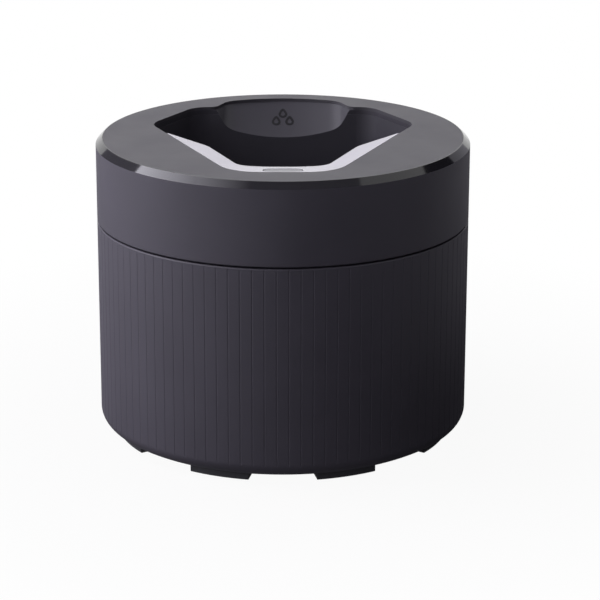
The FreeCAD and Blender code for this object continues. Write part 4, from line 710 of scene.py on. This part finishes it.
class STATION_OT_symbol(StationOperator, bpy.types.Operator):
    """Prints the three drops on the pocket's slope"""

    bl_idname = PREFIX + "symbol"
    bl_label = "Drop symbol"

    def execute(self, context):
        tints = context.scene.station_colours
        sizes = context.scene.station_sizes
        whole = bmesh.new()
        across = sizes.drop_width * DROP_SPREAD
        up = sizes.drop_height * DROP_STACK
        depth = sizes.drop_sink + sizes.drop_rise
        for right, rise in ((0.0, up), (-across, -up), (across, -up)):
            one = drop(sizes.drop_height, sizes.drop_width, sizes.drop_stroke, depth)
            bow = right * right / (2 * SLOPE_RADIUS) * math.sin(SLOPE_ANGLE)
            bmesh.ops.translate(one, verts=one.verts, vec=(right, rise, bow - sizes.drop_sink))
            held = bpy.data.meshes.new("drop")
            one.to_mesh(held)
            one.free()
            whole.from_mesh(held)
            bpy.data.meshes.remove(held)
        bmesh.ops.remove_doubles(whole, verts=whole.verts, dist=WELD)
        bmesh.ops.recalc_face_normals(whole, faces=whole.faces)
        bmesh.ops.rotate(whole, verts=whole.verts, matrix=Matrix.Rotation(SLOPE_ANGLE, 3, "X"))
        down = Vector((0.0, -SLOPE_RUN, -1.0)) * SYMBOL_DEPTH
        bmesh.ops.translate(whole, verts=whole.verts, vec=Vector(SLOPE_TOP) + down)
        # Pad-printing ink: a thin raised film, smooth and near-black.
        ink = moulded("pad_printing_ink", tints.symbol, 0.35, 0.6, 0.003)
        finished("drop_symbol", whole, "top_unit", ink)
        return {"FINISHED"}


def card(name, width, height, place, facing, material, hidden=True):
    """A flat card of that size, centred on a place and facing one way; a hidden one is out of sight."""
    shape = bmesh.new()
    bmesh.ops.create_grid(shape, x_segments=1, y_segments=1, size=0.5)
    bmesh.ops.scale(shape, verts=shape.verts, vec=(width, height, 1.0))
    bmesh.ops.rotate(shape, verts=shape.verts, matrix=Vector(facing).to_track_quat("Z", "Y").to_matrix())
    bmesh.ops.translate(shape, verts=shape.verts, vec=place)
    mesh = bpy.data.meshes.new(name)
    shape.to_mesh(mesh)
    shape.free()
    mesh.materials.append(material)
    made = bpy.data.objects.new(name, mesh)
    bpy.context.scene.collection.objects.link(made)
    made.visible_camera = not hidden
    made.visible_shadow = not hidden


def seen(tree):
    """1 where a ray shows the background: to the camera, in a reflection or through glass."""
    path = add(tree, "ShaderNodeLightPath")
    mirrored = add(
        tree,
        "ShaderNodeMath",
        {0: path.outputs["Is Glossy Ray"], 1: path.outputs["Is Transmission Ray"]},
        operation="MAXIMUM",
    )
    return add(
        tree,
        "ShaderNodeMath",
        {0: path.outputs["Is Camera Ray"], 1: mirrored.outputs[0]},
        operation="MAXIMUM",
    ).outputs[0]


def floor_paint(paint, whiteness):
    """Matte floor paint that keeps the station's shadow and fades to plain white away from it."""
    material = blank("floor_matte_paint")
    tree = material.node_tree
    place = add(tree, "ShaderNodeTexCoord").outputs["Object"]
    roller = add(tree, "ShaderNodeTexNoise", {"Vector": place, "Scale": per(ROLLER_SIZE), "Detail": 3.0})
    bump = add(
        tree,
        "ShaderNodeBump",
        {"Height": roller.outputs["Fac"], "Strength": 0.2, "Distance": ROLLER_RELIEF * MM},
    )
    away = add(tree, "ShaderNodeVectorMath", {0: place}, operation="LENGTH")
    fading = add(
        tree,
        "ShaderNodeMapRange",
        {
            "Value": away.outputs["Value"],
            "From Min": FADE_START,
            "From Max": FADE_END,
            "To Min": whiteness,
            "To Max": 1.0,
        },
    )
    matte = add(tree, "ShaderNodeBsdfDiffuse", {"Color": paint, "Normal": bump.outputs["Normal"]})
    white = add(tree, "ShaderNodeEmission", {"Color": WHITE, "Strength": 1.0})
    part = add(
        tree, "ShaderNodeMath", {0: seen(tree), 1: fading.outputs["Result"]}, operation="MULTIPLY"
    )
    mixed = add(
        tree, "ShaderNodeMixShader", {0: part.outputs[0], 1: matte.outputs[0], 2: white.outputs[0]}
    )
    close(tree, mixed)
    material.cycles.emission_sampling = "NONE"
    return material


def glowing(name, axis, stretch, levels):
    """Lamp cloth whose brightness goes from one level to the other over a stretch of one axis."""
    material = blank(name)
    tree = material.node_tree
    place = add(tree, "ShaderNodeTexCoord").outputs["Object"]
    level = add(tree, "ShaderNodeSeparateXYZ", {"Vector": place}).outputs[axis]
    glow = add(
        tree,
        "ShaderNodeMapRange",
        {
            "Value": level,
            "From Min": stretch[0],
            "From Max": stretch[1],
            "To Min": levels[0],
            "To Max": levels[1],
        },
    )
    close(tree, add(tree, "ShaderNodeEmission", {"Color": LAMP_TINT, "Strength": glow.outputs["Result"]}))
    return material


def surroundings(brightness):
    """An even white room, as bright to look at as white paper, that lights the object gently."""
    world = bpy.data.worlds.new("white_room")
    world.use_nodes = True
    tree = world.node_tree
    tree.nodes.clear()
    glow = add(tree, "ShaderNodeBackground", {"Color": WHITE, "Strength": brightness})
    shown = add(tree, "ShaderNodeBackground", {"Color": WHITE, "Strength": 1.0})
    both = add(tree, "ShaderNodeMixShader", {0: seen(tree), 1: glow.outputs[0], 2: shown.outputs[0]})
    add(tree, "ShaderNodeOutputWorld", {"Surface": both.outputs[0]})
    bpy.context.scene.world = world


class STATION_OT_stage(StationOperator, bpy.types.Operator):
    """Sets the floor, the surroundings, the lamps and the camera"""

    bl_idname = PREFIX + "stage"
    bl_label = "Stage"

    def execute(self, context):
        scene = context.scene
        stage = scene.station_stage
        ground = CAD_BOX[0].z
        paint = floor_paint(stage.floor, stage.whiteness)
        wide = stage.floor_width
        card("floor", wide, wide, (0.0, 0.0, ground), (0, 0, 1), paint, hidden=False)
        surroundings(stage.surroundings)
        for name, size, (x, y, z), facing, axis, stretch, follows, shares in LAMPS:
            levels = [getattr(stage, follows) * part for part in shares]
            cloth = glowing(name.removesuffix("_card") + "_cloth", axis, stretch, levels)
            card(name, *size, (x, y, ground + z), facing, cloth)
        data = bpy.data.cameras.new("camera")
        data.lens = FOCAL_LENGTH
        data.sensor_width = SENSOR / MM
        data.shift_x = CAMERA_SHIFT
        data.clip_start = CLIP_START
        data.clip_end = CLIP_END
        camera = bpy.data.objects.new("camera", data)
        camera.location = CAMERA_PLACE
        camera.rotation_euler = (math.radians(90.0 - CAMERA_PITCH), 0.0, 0.0)
        scene.collection.objects.link(camera)
        scene.camera = camera
        scene.view_settings.view_transform = "Standard"
        return {"FINISHED"}


class STATION_PT_panel(bpy.types.Panel):
    """Lists the station's operators and values in the sidebar"""

    bl_label = "Shaver cleaning station"
    bl_space_type = "VIEW_3D"
    bl_region_type = "UI"
    bl_category = "Cleaning station"

    def draw(self, context):
        for operator in OPERATORS:
            self.layout.operator(operator.bl_idname)
        scene = context.scene
        for group in (scene.station_colours, scene.station_sizes, scene.station_stage):
            for name in group.__annotations__:
                self.layout.prop(group, name)


OPERATORS = (
    STATION_OT_housing,
    STATION_OT_supports,
    STATION_OT_electrics,
    STATION_OT_drive,
    STATION_OT_cartridge,
    STATION_OT_symbol,
    STATION_OT_stage,
)
CLASSES = (StationColours, StationSizes, StationStage, *OPERATORS, STATION_PT_panel)


def register():
    for kind in CLASSES:
        bpy.utils.register_class(kind)
    bpy.types.Scene.station_colours = bpy.props.PointerProperty(type=StationColours)
    bpy.types.Scene.station_sizes = bpy.props.PointerProperty(type=StationSizes)
    bpy.types.Scene.station_stage = bpy.props.PointerProperty(type=StationStage)


def unregister():
    del bpy.types.Scene.station_stage
    del bpy.types.Scene.station_sizes
    del bpy.types.Scene.station_colours
    for kind in reversed(CLASSES):
        bpy.utils.unregister_class(kind)


def main():
    register()
    for operator in OPERATORS:
        getattr(bpy.ops.station, operator.bl_idname.removeprefix(PREFIX))()


if __name__ == "__main__":
    main()
